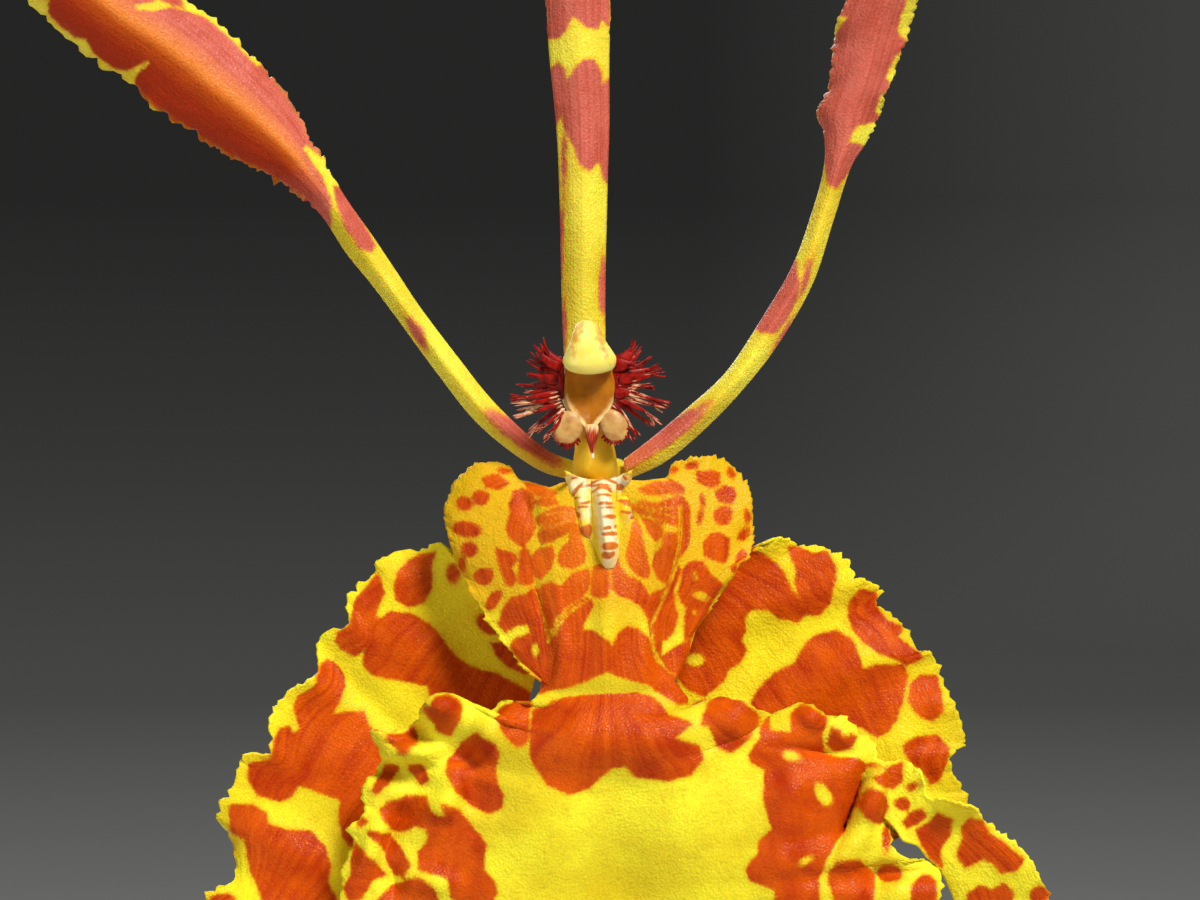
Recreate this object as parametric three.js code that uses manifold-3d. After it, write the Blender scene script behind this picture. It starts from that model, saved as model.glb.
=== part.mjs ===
// A potted butterfly orchid, Psychopsis versteegiana, with one open flower on its stalk.
// Units are millimetres and +Z is up. The origin is the middle of the pot's foot, and the
// flower faces -Y.

import * as THREE from "three";
import * as BufferGeometryUtils from "three/addons/utils/BufferGeometryUtils.js";
import Module from "manifold-3d";

const wasm = await Module();
wasm.setup();

// Pot
const POT_HEIGHT = 106;
const POT_FOOT_RADIUS = 42;
const POT_WALL_TOP_RADIUS = 56;
const POT_RIM_RADIUS = 60.5;
const POT_RIM_HEIGHT = 22;
const POT_WALL = 5;
const POT_FLOOR = 7;
const POT_FOOT_CHAMFER = 1.5;
const POT_RIM_CHAMFER = 1.6;
const POT_RIM_FLARE = 0.4;
const POT_SIDES = 48;
const DRAIN_HOLES = 4;
const DRAIN_HOLE_RADIUS = 4.5;
const DRAIN_CIRCLE_RADIUS = 24;

// Clearance between pieces that touch
const GAP = 0.3;

// Bark medium
const MEDIUM_TOP = 94;
const MEDIUM_CROWN = 1.5;

// Rhizome, pseudobulbs and leaves
const RHIZOME_RADIUS = 3;
const BULB_HALF_WIDTH = 11.5;
const BULB_HALF_DEPTH = 6.8;
const LEAF_THICKNESS = 1.8;
const LEAF_STALK_HALF_WIDTH = 3;
const ROOT_RADIUS = 1.6;

// Each growth: where its bulb stands, how far it is turned, its height and its leaf
const GROWTHS = [
  { x: -29, y: 4, turn: 18, height: 31, leaf: 112, half: 21, leanX: -30, leanY: 10 },
  { x: -14.5, y: -8, turn: -14, height: 34, leaf: 128, half: 23, leanX: -14, leanY: -17 },
  { x: 0, y: 5.5, turn: 10, height: 37, leaf: 142, half: 25, leanX: -3, leanY: 15 },
  { x: 15, y: -7.5, turn: -16, height: 39, leaf: 150, half: 26, leanX: 11, leanY: -16 },
  { x: 29.5, y: 4, turn: 12, height: 36, leaf: 132, half: 24, leanX: 29, leanY: 12 },
];

// Flower stalk and flower
const FLOWER_CENTRE = new THREE.Vector3(0, -18, 430);
const STALK_FOOT_RADIUS = 2.3;
const STALK_TIP_RADIUS = 1.4;
const TEPAL_THICKNESS = 0.8;
const LIP_THICKNESS = 1.1;
const BRACT_LENGTH = 13;
const BRACT_WALL = 0.8;
const BUD_RADIUS = 1.9;
const BUD_LENGTH = 9.5;
const BUD_FLATTENING = 0.8;
const COLUMN_RADIUS = 1.6;
const WING_THICKNESS = 0.6;
const ANTHER_RADIUS = 1.75;
const ANTHER_HEIGHT = 2.7;
const ANTHER_LEAN = new THREE.Vector2(-0.3, -0.9);
const ANTHER_SEAT = new THREE.Vector3(-0.8, -3.5, 8);

const MATERIALS = {
  terracotta: { color: 0xb4643c, roughness: 0.85 },
  bark: { color: 0x5a3a24, roughness: 0.95 },
  rhizome: { color: 0x6a5a38, roughness: 0.8 },
  pseudobulb: { color: 0x5f7a35, roughness: 0.5 },
  leaf: { color: 0x3f6a2c, roughness: 0.45 },
  root: { color: 0xcfcdb8, roughness: 0.7 },
  stalk: { color: 0x6b8a44, roughness: 0.5 },
  bract: { color: 0x9a8c5c, roughness: 0.8 },
  tepal_red: { color: 0xc8554a, roughness: 0.5 },
  sepal_yellow: { color: 0xe8a01c, roughness: 0.5 },
  lip_yellow: { color: 0xf4d81f, roughness: 0.5 },
  column: { color: 0xd0901c, roughness: 0.45 },
  anther: { color: 0xf8e27a, roughness: 0.4 },
};

// Helpers

function mesh(name, geometry, look) {
  const material = new THREE.MeshStandardMaterial({ ...MATERIALS[look], metalness: 0 });
  const piece = new THREE.Mesh(geometry, material);
  piece.name = name;
  return piece;
}

function welded(geometry) {
  const bare = geometry.clone();
  bare.deleteAttribute("normal");
  bare.deleteAttribute("uv");
  return BufferGeometryUtils.mergeVertices(bare, 1e-4);
}

function toSolid(geometry) {
  const closed = welded(geometry);
  return new wasm.Manifold(
    new wasm.Mesh({
      numProp: 3,
      vertProperties: new Float32Array(closed.attributes.position.array),
      triVerts: new Uint32Array(closed.index.array),
    }),
  );
}

function fromSolid(solid) {
  const { vertProperties, triVerts } = solid.getMesh();
  const geometry = new THREE.BufferGeometry();
  geometry.setAttribute("position", new THREE.BufferAttribute(new Float32Array(vertProperties), 3));
  geometry.setIndex(new THREE.BufferAttribute(new Uint32Array(triVerts), 1));
  geometry.computeVertexNormals();
  return geometry;
}

function joined(geometries) {
  const solids = geometries.map(toSolid);
  return fromSolid(solids.reduce((whole, solid) => whole.add(solid)));
}

function vectors(points) {
  return points.map(([x, y, z]) => new THREE.Vector3(x, y, z));
}

function degrees(angle) {
  return THREE.MathUtils.degToRad(angle);
}

// A value along a piece, smoothly between its evenly spaced stations
function profile(values) {
  const curve = new THREE.SplineCurve(values.map((value, i) => new THREE.Vector2(i, value)));
  return (t) => curve.getPoint(THREE.MathUtils.clamp(t, 0, 1)).y;
}

// Moves each vertex of a simple closed geometry to its place, and keeps the body closed
function reshaped(geometry, place) {
  const closed = welded(geometry);
  const position = closed.attributes.position;
  const vertex = new THREE.Vector3();
  for (let i = 0; i < position.count; i += 1) {
    vertex.fromBufferAttribute(position, i);
    const moved = place(vertex);
    position.setXYZ(i, moved.x, moved.y, moved.z);
  }
  closed.computeVertexNormals();
  return closed;
}

// A thin blade, such as a leaf or a petal: a flat box bent along a spine. Its width runs
// across the spine and square to facing, and cup lifts its margins off the spine.
function blade({ spine, halfWidths, thickness, facing, cup = 0, along = 14, across = 6 }) {
  const path = new THREE.CatmullRomCurve3(vectors(spine));
  const halfWidth = profile(halfWidths);
  const front = new THREE.Vector3(...facing).normalize();
  const sheet = new THREE.BoxGeometry(2, 1, 1, across, along, 1);
  return reshaped(sheet, (v) => {
    const t = v.y + 0.5;
    const tangent = path.getTangentAt(t);
    const side = new THREE.Vector3().crossVectors(tangent, front).normalize();
    const out = new THREE.Vector3().crossVectors(side, tangent).normalize();
    const half = halfWidth(t);
    return path
      .getPointAt(t)
      .addScaledVector(side, v.x * half)
      .addScaledVector(out, v.z * thickness + cup * v.x * v.x * half);
  });
}

// A round stem along a curve, with its radius given at evenly spaced stations. The section
// may be flattened, and both ends are flat.
function stem({ spine, radii, sides = 10, steps = 16, up = [0, 1, 0], flatten = 1 }) {
  const path = new THREE.CatmullRomCurve3(vectors(spine));
  const radius = profile(radii);
  const guide = new THREE.Vector3(...up).normalize();
  const rod = new THREE.CylinderGeometry(1, 1, 1, sides, steps);
  return reshaped(rod, (v) => {
    const t = v.y + 0.5;
    const tangent = path.getTangentAt(t);
    const side = new THREE.Vector3().crossVectors(guide, tangent).normalize();
    const front = new THREE.Vector3().crossVectors(side, tangent).normalize();
    return path
      .getPointAt(t)
      .addScaledVector(side, v.x * radius(t))
      .addScaledVector(front, v.z * radius(t) * flatten);
  });
}

// Pot, with drain holes through its floor

function potInnerRadius(z) {
  const slope = (POT_WALL_TOP_RADIUS - POT_FOOT_RADIUS) / POT_HEIGHT;
  return POT_FOOT_RADIUS + slope * z - POT_WALL;
}

function pot() {
  const rimBottom = POT_HEIGHT - POT_RIM_HEIGHT;
  const wallAtRim = potInnerRadius(rimBottom) + POT_WALL;
  const outline = [
    [0, 0],
    [POT_FOOT_RADIUS - POT_FOOT_CHAMFER, 0],
    [POT_FOOT_RADIUS, POT_FOOT_CHAMFER],
    [wallAtRim, rimBottom],
    [POT_RIM_RADIUS - POT_RIM_FLARE - POT_RIM_CHAMFER, rimBottom],
    [POT_RIM_RADIUS - POT_RIM_FLARE, rimBottom + POT_RIM_CHAMFER],
    [POT_RIM_RADIUS, POT_HEIGHT - POT_RIM_CHAMFER],
    [POT_RIM_RADIUS - POT_RIM_CHAMFER, POT_HEIGHT],
    [potInnerRadius(POT_HEIGHT) + POT_RIM_CHAMFER, POT_HEIGHT],
    [potInnerRadius(POT_HEIGHT), POT_HEIGHT - POT_RIM_CHAMFER],
    [potInnerRadius(POT_FLOOR), POT_FLOOR],
    [0, POT_FLOOR],
  ].map(([r, z]) => new THREE.Vector2(r, z));
  const turned = new THREE.LatheGeometry(outline, POT_SIDES).rotateX(Math.PI / 2);
  let shell = toSolid(turned);
  for (let i = 0; i < DRAIN_HOLES; i += 1) {
    const angle = ((i + 0.5) / DRAIN_HOLES) * 2 * Math.PI;
    const drill = new THREE.CylinderGeometry(DRAIN_HOLE_RADIUS, DRAIN_HOLE_RADIUS, POT_FLOOR * 3, 16)
      .rotateX(Math.PI / 2)
      .translate(DRAIN_CIRCLE_RADIUS * Math.cos(angle), DRAIN_CIRCLE_RADIUS * Math.sin(angle), 0);
    shell = shell.subtract(toSolid(drill));
  }
  return mesh("pot", fromSolid(shell), "terracotta");
}

function barkMedium() {
  const edge = potInnerRadius(MEDIUM_TOP) - GAP;
  const outline = [
    [0, POT_FLOOR + GAP],
    [potInnerRadius(POT_FLOOR) - 2 * GAP, POT_FLOOR + GAP],
    [edge - GAP, MEDIUM_TOP - MEDIUM_CROWN],
    [edge * 0.75, MEDIUM_TOP],
    [0, MEDIUM_TOP],
  ].map(([r, z]) => new THREE.Vector2(r, z));
  const turned = new THREE.LatheGeometry(outline, POT_SIDES).rotateX(Math.PI / 2);
  return mesh("bark_medium", turned, "bark");
}

// Rhizome: the short creeping stem that carries the bulbs, lying on the bark

function rhizome() {
  const z = MEDIUM_TOP + GAP + RHIZOME_RADIUS;
  const first = GROWTHS[0];
  const last = GROWTHS[GROWTHS.length - 1];
  const spine = [
    [first.x - 6, first.y + 1, z],
    ...GROWTHS.map(({ x, y }) => [x, y, z]),
    [last.x + 6, last.y + 1, z],
  ];
  const geometry = stem({
    spine,
    radii: [RHIZOME_RADIUS * 0.7, RHIZOME_RADIUS, RHIZOME_RADIUS, RHIZOME_RADIUS * 0.7],
    steps: 24,
    up: [0, 0, 1],
  });
  return mesh("rhizome", geometry, "rhizome");
}

// Pseudobulbs: flattened, egg shaped, narrow at the top where the leaf stands

const BULB_FOOT = MEDIUM_TOP + 2 * RHIZOME_RADIUS + 2 * GAP;

function pseudobulb(growth, index) {
  const outline = profile([0.5, 0.86, 1, 0.97, 0.82, 0.58, 0.3]);
  const rod = new THREE.CylinderGeometry(1, 1, 1, 18, 10);
  const geometry = reshaped(rod, (v) => {
    const t = v.y + 0.5;
    const halfWidth = BULB_HALF_WIDTH * outline(t);
    const halfDepth = BULB_HALF_DEPTH * outline(t);
    return new THREE.Vector3(v.x * halfWidth, -v.z * halfDepth, t * growth.height);
  });
  const piece = mesh(`pseudobulb_${index + 1}`, geometry, "pseudobulb");
  piece.position.set(growth.x, growth.y, BULB_FOOT);
  piece.rotation.z = degrees(growth.turn);
  return piece;
}

// Leaves: one stiff upright blade on each bulb, folded at its stalk

function leaf(growth, index) {
  const length = growth.leaf;
  const acrossX = Math.tan(degrees(growth.leanX)) * length;
  const acrossY = Math.tan(degrees(growth.leanY)) * length;
  const spine = [0, 0.12, 0.35, 0.6, 0.82, 1].map((t) => [
    acrossX * t * (0.45 + 0.55 * t),
    acrossY * t * (0.35 + 0.65 * t),
    length * t * (1 - 0.06 * t * t),
  ]);
  const half = growth.half;
  const geometry = blade({
    spine,
    halfWidths: [LEAF_STALK_HALF_WIDTH, half * 0.3, half * 0.78, half, half * 0.98, half * 0.68, 2],
    thickness: LEAF_THICKNESS,
    facing: [0, -1, 0.15],
    cup: growth.leanY > 0 ? 0.16 : -0.16,
    along: 18,
    across: 6,
  });
  const piece = mesh(`leaf_${index + 1}`, geometry, "leaf");
  const dip = LEAF_STALK_HALF_WIDTH * Math.sin(Math.atan(0.45 * Math.abs(Math.tan(degrees(growth.leanX)))));
  const rise = BULB_FOOT + growth.height + GAP + dip;
  piece.position.set(growth.x, growth.y, rise);
  piece.rotation.z = degrees(growth.turn);
  return piece;
}

// Roots: round, creeping from the rhizome over the bark

const ROOT_ROUTES = [
  [[-25, -6.5], [-29, -16], [-24, -28], [-12, -38], [4, -44]],
  [[8, -15], [14, -24], [27, -30], [36, -26], [43, -15]],
  [[21, 6], [24, 17], [18, 30], [6, 38], [-8, 43]],
  [[-20, 8], [-26, 18], [-24, 30], [-31, 35], [-36, 28]],
];

function root(route, index) {
  const z = MEDIUM_TOP + GAP + ROOT_RADIUS;
  const path = new THREE.CatmullRomCurve3(route.map(([x, y]) => new THREE.Vector3(x, y, z)));
  const section = new THREE.Shape().absarc(0, 0, ROOT_RADIUS, 0, 2 * Math.PI);
  const geometry = new THREE.ExtrudeGeometry(section, { extrudePath: path, steps: 12, curveSegments: 8 });
  return mesh(`root_${index + 1}`, geometry, "root");
}

// Flower stalk: rises between the leaves from the foot of the fourth bulb

const STALK_ROUTE = [
  [14.5, 4.5, MEDIUM_TOP + GAP],
  [15.5, 4, 130],
  [14.5, 3.5, 185],
  [10, 4, 255],
  [4, 6.5, 330],
  [0.5, 8, 385],
  [-0.5, 7.5, 417],
];
const STALK = new THREE.CatmullRomCurve3(vectors(STALK_ROUTE));
const STALK_RADII = [STALK_FOOT_RADIUS, 2.2, 2, 1.8, 1.6, STALK_TIP_RADIUS];
const BRACT_STATIONS = [0.24, 0.47, 0.7, 0.9];

function flowerStalk() {
  const geometry = stem({ spine: STALK_ROUTE, radii: STALK_RADII, sides: 12, steps: 32 });
  return mesh("flower_stalk", geometry, "stalk");
}

// Bracts: a short sleeve that clasps the stalk at each node
function bract(station, index) {
  const inner = profile(STALK_RADII)(station) / Math.cos(Math.PI / 12) + GAP;
  const outline = [
    [inner, 0],
    [inner + BRACT_WALL, 0],
    [inner + BRACT_WALL * 1.5, BRACT_LENGTH * 0.3],
    [inner + BRACT_WALL, BRACT_LENGTH],
    [inner, BRACT_LENGTH],
    [inner, 0],
  ].map(([r, z]) => new THREE.Vector2(r, z));
  const geometry = new THREE.LatheGeometry(outline, 14);
  const piece = mesh(`bract_${index + 1}`, geometry, "bract");
  piece.position.copy(STALK.getPointAt(station));
  const middle = station + BRACT_LENGTH / 2 / STALK.getLength();
  piece.quaternion.setFromUnitVectors(new THREE.Vector3(0, 1, 0), STALK.getTangentAt(middle));
  return piece;
}

// The flower's pieces are placed from its centre: x to the right, y to the back, z up

function flowerPiece(name, geometry, look) {
  const piece = mesh(name, geometry, look);
  piece.position.copy(FLOWER_CENTRE);
  return piece;
}

const OVARY_ROUTE = [
  [0, 4.9, -0.2],
  [-0.1, 9, -0.8],
  [-0.3, 14, -4],
  [-0.4, 19, -9.5],
  [-0.45, 23.1, -16],
];

function pedicelOvary() {
  const geometry = stem({
    spine: OVARY_ROUTE,
    radii: [2.4, 2, 1.7, 1.4, 1.1, 0.9],
    steps: 16,
    up: [1, 0, 0],
  });
  return flowerPiece("pedicel_ovary", geometry, "stalk");
}

function nextBud() {
  const tip = STALK_ROUTE[STALK_ROUTE.length - 1];
  const outline = profile([0.5, 0.95, 1, 0.8, 0.15]);
  const rod = new THREE.CylinderGeometry(1, 1, 1, 12, 8);
  const geometry = reshaped(rod, (v) => {
    const t = v.y + 0.5;
    const radius = BUD_RADIUS * outline(t);
    return new THREE.Vector3(v.x * radius, -v.z * radius * BUD_FLATTENING, t * BUD_LENGTH);
  });
  const piece = mesh("next_bud", geometry, "stalk");
  piece.position.set(tip[0], tip[1], tip[2] + GAP);
  return piece;
}

const TEPALS = [
  {
    name: "dorsal_sepal",
    look: "tepal_red",
    spine: [
      [-0.3, 3.8, 1],
      [-1.2, 4.5, 10],
      [-1.6, 5, 19],
      [-1.2, 4.6, 31],
      [-0.6, 3, 45],
      [0, 1, 58],
      [0.2, -1, 66],
    ],
    halfWidths: [1.7, 2.1, 1.8, 2.1, 3.4, 4.6, 3.8, 0.5],
  },
  {
    name: "petal_left",
    look: "tepal_red",
    spine: [
      [-0.8, 2.4, 0.4],
      [-8.6, 3.2, 4.6],
      [-14.8, 4, 13.4],
      [-19.6, 4, 20],
      [-28, 3, 27.6],
      [-38, 1.4, 35.4],
      [-46, -1, 41],
    ],
    halfWidths: [1.2, 1.5, 1.1, 1.6, 3.4, 5.2, 4.8, 0.8],
  },
  {
    name: "petal_right",
    look: "tepal_red",
    spine: [
      [0.8, 2.4, 0.4],
      [6.8, 3.2, 4],
      [11.8, 4, 12.6],
      [15, 4, 20.4],
      [18.6, 3, 29],
      [22.6, 1.4, 40],
      [26, -1, 52],
    ],
    halfWidths: [1.2, 1.6, 1.4, 1.7, 2.6, 4.6, 4.4, 0.8],
  },
  {
    name: "lateral_sepal_left",
    look: "sepal_yellow",
    spine: [
      [-0.8, 3.7, -0.9],
      [-9, 4.6, -8],
      [-17, 5.6, -16],
      [-22.5, 5.4, -24],
      [-26.5, 4, -32],
      [-30, 2, -39],
    ],
    halfWidths: [0.7, 5.6, 9.6, 9.8, 7.6, 1],
  },
  {
    name: "lateral_sepal_right",
    look: "sepal_yellow",
    spine: [
      [0.8, 3.7, -0.9],
      [9.5, 4.6, -7.6],
      [16, 5.6, -14],
      [20.5, 5.4, -21],
      [22.5, 4.6, -27],
      [23.5, 3.4, -33],
    ],
    halfWidths: [0.7, 5.6, 8.6, 8.4, 6, 1],
  },
];

function tepal({ name, look, spine, halfWidths }) {
  const geometry = blade({ spine, halfWidths, thickness: TEPAL_THICKNESS, facing: [0, -1, 0] });
  return flowerPiece(name, geometry, look);
}

// Lip: the two ears beside the callus, the claw, the broad middle lobe and the callus itself
// grow as one piece

function lip() {
  const facing = [0, -1, 0];
  const ears = [-1, 1].map((side) =>
    blade({
      spine: [
        [0.3, -0.8, -13.5],
        [3.8 * side, -1, -9],
        [7.6 * side, -0.4, -4.6],
        [9.2 * side, 0.6, 0],
      ],
      halfWidths: [2.4, 4.4, 4.4, 1.6],
      thickness: LIP_THICKNESS,
      facing,
      along: 10,
    }),
  );
  const claw = blade({
    spine: [[0.2, -0.4, -0.4], [0.4, -1.2, -5], [0.4, -1.6, -10], [0.6, -2, -17]],
    halfWidths: [2.2, 3.4, 4, 5.4],
    thickness: LIP_THICKNESS * 1.4,
    facing,
    along: 8,
    across: 4,
  });
  const middleLobe = blade({
    spine: [[0.6, -2, -14.6], [2.8, -3, -18], [4.5, -3.6, -26], [6, -3.2, -34], [6, -1.6, -45]],
    halfWidths: [6, 15, 20, 23.5, 24.5, 23, 17, 5],
    thickness: LIP_THICKNESS,
    facing,
    cup: -0.05,
    along: 16,
    across: 10,
  });
  const callus = stem({
    spine: [[0, -1.6, -0.3], [0.2, -2.4, -2.4], [0.4, -2.4, -4.6], [0.6, -2, -6.6]],
    radii: [2.2, 2, 1.3, 0.5],
    steps: 8,
    sides: 12,
    flatten: 0.75,
  });
  return flowerPiece("lip", joined([claw, ...ears, middleLobe, callus]), "lip_yellow");
}

// Column: a short stout post that leans to the front, with a curved wing on each side

function column() {
  const post = stem({
    spine: [[0, 0.05, 0.35], [-0.3, -0.3, 3], [-0.5, -1.6, 5.4], [-0.6, -2.8, 7.4]],
    radii: [COLUMN_RADIUS, COLUMN_RADIUS * 1.06, COLUMN_RADIUS * 1.3, COLUMN_RADIUS * 1.2],
    steps: 10,
    sides: 14,
  });
  const wings = [-1, 1].map((side) =>
    blade({
      spine: [
        [side * 1.2, -1.6, 3.4],
        [side * 3.2 - 0.2, -3, 3.2],
        [side * 5.2 - 0.5, -4, 5],
        [side * 4.4 - 0.6, -4.4, 8.6],
      ],
      halfWidths: [1.5, 1.4, 1.3, 0.5],
      thickness: WING_THICKNESS,
      facing: [0, -1, 0],
      along: 10,
      across: 2,
    }),
  );
  return flowerPiece("column", joined([post, ...wings]), "column");
}

function antherCap() {
  const outline = profile([0.55, 0.95, 1, 0.86, 0.6, 0.3]);
  const rod = new THREE.CylinderGeometry(1, 1, 1, 14, 8);
  const geometry = reshaped(rod, (v) => {
    const t = v.y + 0.5;
    const radius = ANTHER_RADIUS * outline(t);
    const lean = new THREE.Vector3(ANTHER_LEAN.x * t, ANTHER_LEAN.y * t, ANTHER_HEIGHT * t);
    return new THREE.Vector3(v.x * radius, -v.z * radius, 0).add(ANTHER_SEAT).add(lean);
  });
  return flowerPiece("anther_cap", geometry, "anther");
}

const group = new THREE.Group();
group.add(pot(), barkMedium(), rhizome());
group.add(...GROWTHS.map(pseudobulb), ...GROWTHS.map(leaf));
group.add(...ROOT_ROUTES.map(root));
group.add(flowerStalk(), ...BRACT_STATIONS.map(bract), nextBud(), pedicelOvary());
group.add(...TEPALS.map(tepal), lip(), column(), antherCap());

export default group;
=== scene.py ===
# %% [markdown]
# A potted butterfly orchid, Psychopsis versteegiana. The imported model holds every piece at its
# real place and size. This script dresses it: each grown piece is modelled again with its
# folds, ruffles and teeth, and gets a finish made of shader nodes. Everything is in metres,
# in the model's own frame, with the flower facing -Y.

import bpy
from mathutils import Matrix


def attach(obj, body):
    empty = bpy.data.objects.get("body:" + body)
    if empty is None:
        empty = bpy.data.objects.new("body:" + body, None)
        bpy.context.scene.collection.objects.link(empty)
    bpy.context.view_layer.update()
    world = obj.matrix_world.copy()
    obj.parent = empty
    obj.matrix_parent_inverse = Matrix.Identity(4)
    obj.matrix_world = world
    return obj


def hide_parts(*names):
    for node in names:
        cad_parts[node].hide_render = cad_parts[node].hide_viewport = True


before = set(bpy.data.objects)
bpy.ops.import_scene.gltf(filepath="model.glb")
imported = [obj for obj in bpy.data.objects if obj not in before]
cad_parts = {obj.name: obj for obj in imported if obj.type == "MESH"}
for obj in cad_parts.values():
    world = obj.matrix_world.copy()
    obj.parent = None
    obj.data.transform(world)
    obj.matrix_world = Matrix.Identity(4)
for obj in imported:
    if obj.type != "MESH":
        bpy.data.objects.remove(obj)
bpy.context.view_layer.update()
print("nodes in the frame:", len(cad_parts))

# %% Tools and units
import math
import random

import bmesh
import bpy
import numpy as np
from mathutils import Matrix, Vector, noise

MM = 0.001
random.seed(7)
noise.seed_set(7)

# %% [markdown]
# The photograph looks straight into the flower from close by. Its outlines are read off in the
# photograph's own pixels, 1200 across and 900 down, so the script needs one rule that says
# where a pixel lies in space. A pixel covers 0.07 mm on the plane through the flower's
# centre. A point that lies further back is moved along its line of sight, so it stays under
# the same pixel.

# %% The camera and the line of sight
PHOTO_WIDTH = 1200
PHOTO_MIDDLE = (600, 450)
FLOWER_PIXEL = (600, 475)
PIXEL = 0.07 * MM
LENS = 100
SENSOR = 36
FLOWER = Vector((0, -18, 430)) * MM
REACH = PHOTO_WIDTH * PIXEL * LENS / SENSOR
EYE = Vector((0, FLOWER.y - REACH, FLOWER.z + (FLOWER_PIXEL[1] - PHOTO_MIDDLE[1]) * PIXEL))


def seen(spots):
    """Points in space under rows of (pixel x, pixel y, millimetres behind the flower's plane)."""
    spots = np.asarray(spots, dtype=float)
    depth = spots[:, 2] * MM
    size = PIXEL * (REACH + depth) / REACH
    x = (spots[:, 0] - PHOTO_MIDDLE[0]) * size
    z = EYE.z - (spots[:, 1] - PHOTO_MIDDLE[1]) * size
    return np.stack([x, FLOWER.y + depth, z], axis=1)


camera_data = bpy.data.cameras.new("camera")
camera_data.lens = LENS
camera_data.sensor_width = SENSOR
camera_data.clip_start = 10 * MM
camera = bpy.data.objects.new("camera", camera_data)
camera.location = EYE
camera.rotation_euler = (math.radians(90), 0, 0)
bpy.context.collection.objects.link(camera)
bpy.context.scene.camera = camera
print("camera distance in mm:", round(REACH / MM, 1))

# %% [markdown]
# The light is soft and comes from large panels, a key panel above and to the right, a weaker
# one from the left and one behind. The panels are kept out of the camera's sight. The
# background is the plain dark grey of the photograph, a little lighter towards the bottom.

# %% Light and background, and the floor's size
FLOOR_RADIUS = 2.6


def area_light(name, place, aim, size, power):
    data = bpy.data.lights.new(name, "AREA")
    data.shape = "DISK"
    data.size = size
    data.energy = power
    lamp = bpy.data.objects.new(name, data)
    lamp.location = place
    lamp.rotation_euler = (Vector(aim) - Vector(place)).to_track_quat("-Z", "Y").to_euler()
    lamp.visible_camera = False
    bpy.context.collection.objects.link(lamp)
    return lamp


area_light("key", (0.55, -0.95, 1.45), (0, 0, 0.38), 0.4, 30)
area_light("fill", (-1.3, -1.2, 0.7), (0, 0, 0.35), 1.4, 9)
area_light("back", (-0.6, 1.4, 1.2), (0, 0, 0.35), 1.0, 16)

world = bpy.data.worlds.new("studio")
world.use_nodes = True
bpy.context.scene.world = world
sky = world.node_tree
direction = sky.nodes.new("ShaderNodeTexCoord")
height = sky.nodes.new("ShaderNodeSeparateXYZ")
ramp = sky.nodes.new("ShaderNodeValToRGB")
spread = sky.nodes.new("ShaderNodeMapRange")
spread.inputs["From Min"].default_value = -0.15
spread.inputs["From Max"].default_value = 0.15
SKY_STOPS = ((0.0, 0.155), (0.1, 0.116), (0.25, 0.062), (0.5, 0.035), (0.75, 0.018), (1.0, 0.018))
for place, grey in SKY_STOPS[1:-1]:
    ramp.color_ramp.elements.new(place)
for stop, (place, grey) in zip(ramp.color_ramp.elements, SKY_STOPS):
    stop.position = place
    stop.color = (grey, grey * 1.02, grey * 0.97, 1)
sky.links.new(direction.outputs["Generated"], height.inputs[0])
sky.links.new(height.outputs["Z"], spread.inputs["Value"])
sky.links.new(spread.outputs[0], ramp.inputs[0])
sky.links.new(ramp.outputs[0], sky.nodes["Background"].inputs["Color"])
haze = [sky.nodes.new("ShaderNodeMapRange") for k in range(2)]
for part, (axis, low, high, top) in zip(haze, (("X", 0.03, 0.17, 1.5), ("Z", -0.06, 0.08, 1.0))):
    part.inputs["From Min"].default_value = low
    part.inputs["From Max"].default_value = high
    part.inputs["To Max"].default_value = top
    sky.links.new(height.outputs[axis], part.inputs["Value"])
strength = sky.nodes.new("ShaderNodeMath")
strength.operation = "MULTIPLY_ADD"
sky.links.new(haze[0].outputs[0], strength.inputs[0])
sky.links.new(haze[1].outputs[0], strength.inputs[1])
strength.inputs[2].default_value = 1.0
sky.links.new(strength.outputs[0], sky.nodes["Background"].inputs["Strength"])
bpy.context.scene.view_settings.view_transform = "Standard"

# %% Small helpers for meshes
WELD_REACH = 0.0005 * MM
# The step to either side of a place on a route that gives the way ahead there.
ROUTE_STEP = 0.01


def finish_mesh(bm, name, body="root"):
    """Closes a bmesh into an object at the origin that rides on the one body."""
    mesh = bpy.data.meshes.new(name)
    bm.to_mesh(mesh)
    bm.free()
    mesh.shade_smooth()
    piece = bpy.data.objects.new(name, mesh)
    bpy.context.collection.objects.link(piece)
    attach(piece, body)
    return piece


def pour(part, bm):
    """Adds a finished bmesh to a larger one and frees it."""
    mesh = bpy.data.meshes.new("part")
    part.to_mesh(mesh)
    part.free()
    bm.from_mesh(mesh)
    bpy.data.meshes.remove(mesh)


def set_attribute(mesh, name, values):
    layer = mesh.attributes.new(name, "FLOAT", "POINT")
    layer.data.foreach_set("value", np.asarray(values, dtype=np.float32))


def curve_weights(stations, samples):
    """How much each of some evenly spaced stations pulls on each sample of a smooth curve."""
    weights = np.zeros((len(samples), stations))
    for row, sample in enumerate(samples):
        place = min(max(sample, 0), 1) * (stations - 1)
        first = min(int(place), stations - 2)
        f = place - first
        pulls = (
            (-f + 2 * f**2 - f**3) / 2,
            (2 - 5 * f**2 + 3 * f**3) / 2,
            (f + 4 * f**2 - 3 * f**3) / 2,
            (-(f**2) + f**3) / 2,
        )
        for station, pull in enumerate(pulls, first - 1):
            if station < 0:
                weights[row, 0] += 2 * pull
                weights[row, 1] -= pull
            elif station >= stations:
                weights[row, -1] += 2 * pull
                weights[row, -2] -= pull
            else:
                weights[row, station] += pull
    return weights


def reached(points):
    """The share of an outline's length that lies behind each of its points."""
    steps = np.linalg.norm(np.diff(points, axis=0), axis=1)
    return np.concatenate([[0], np.cumsum(steps)]) / steps.sum()


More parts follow.
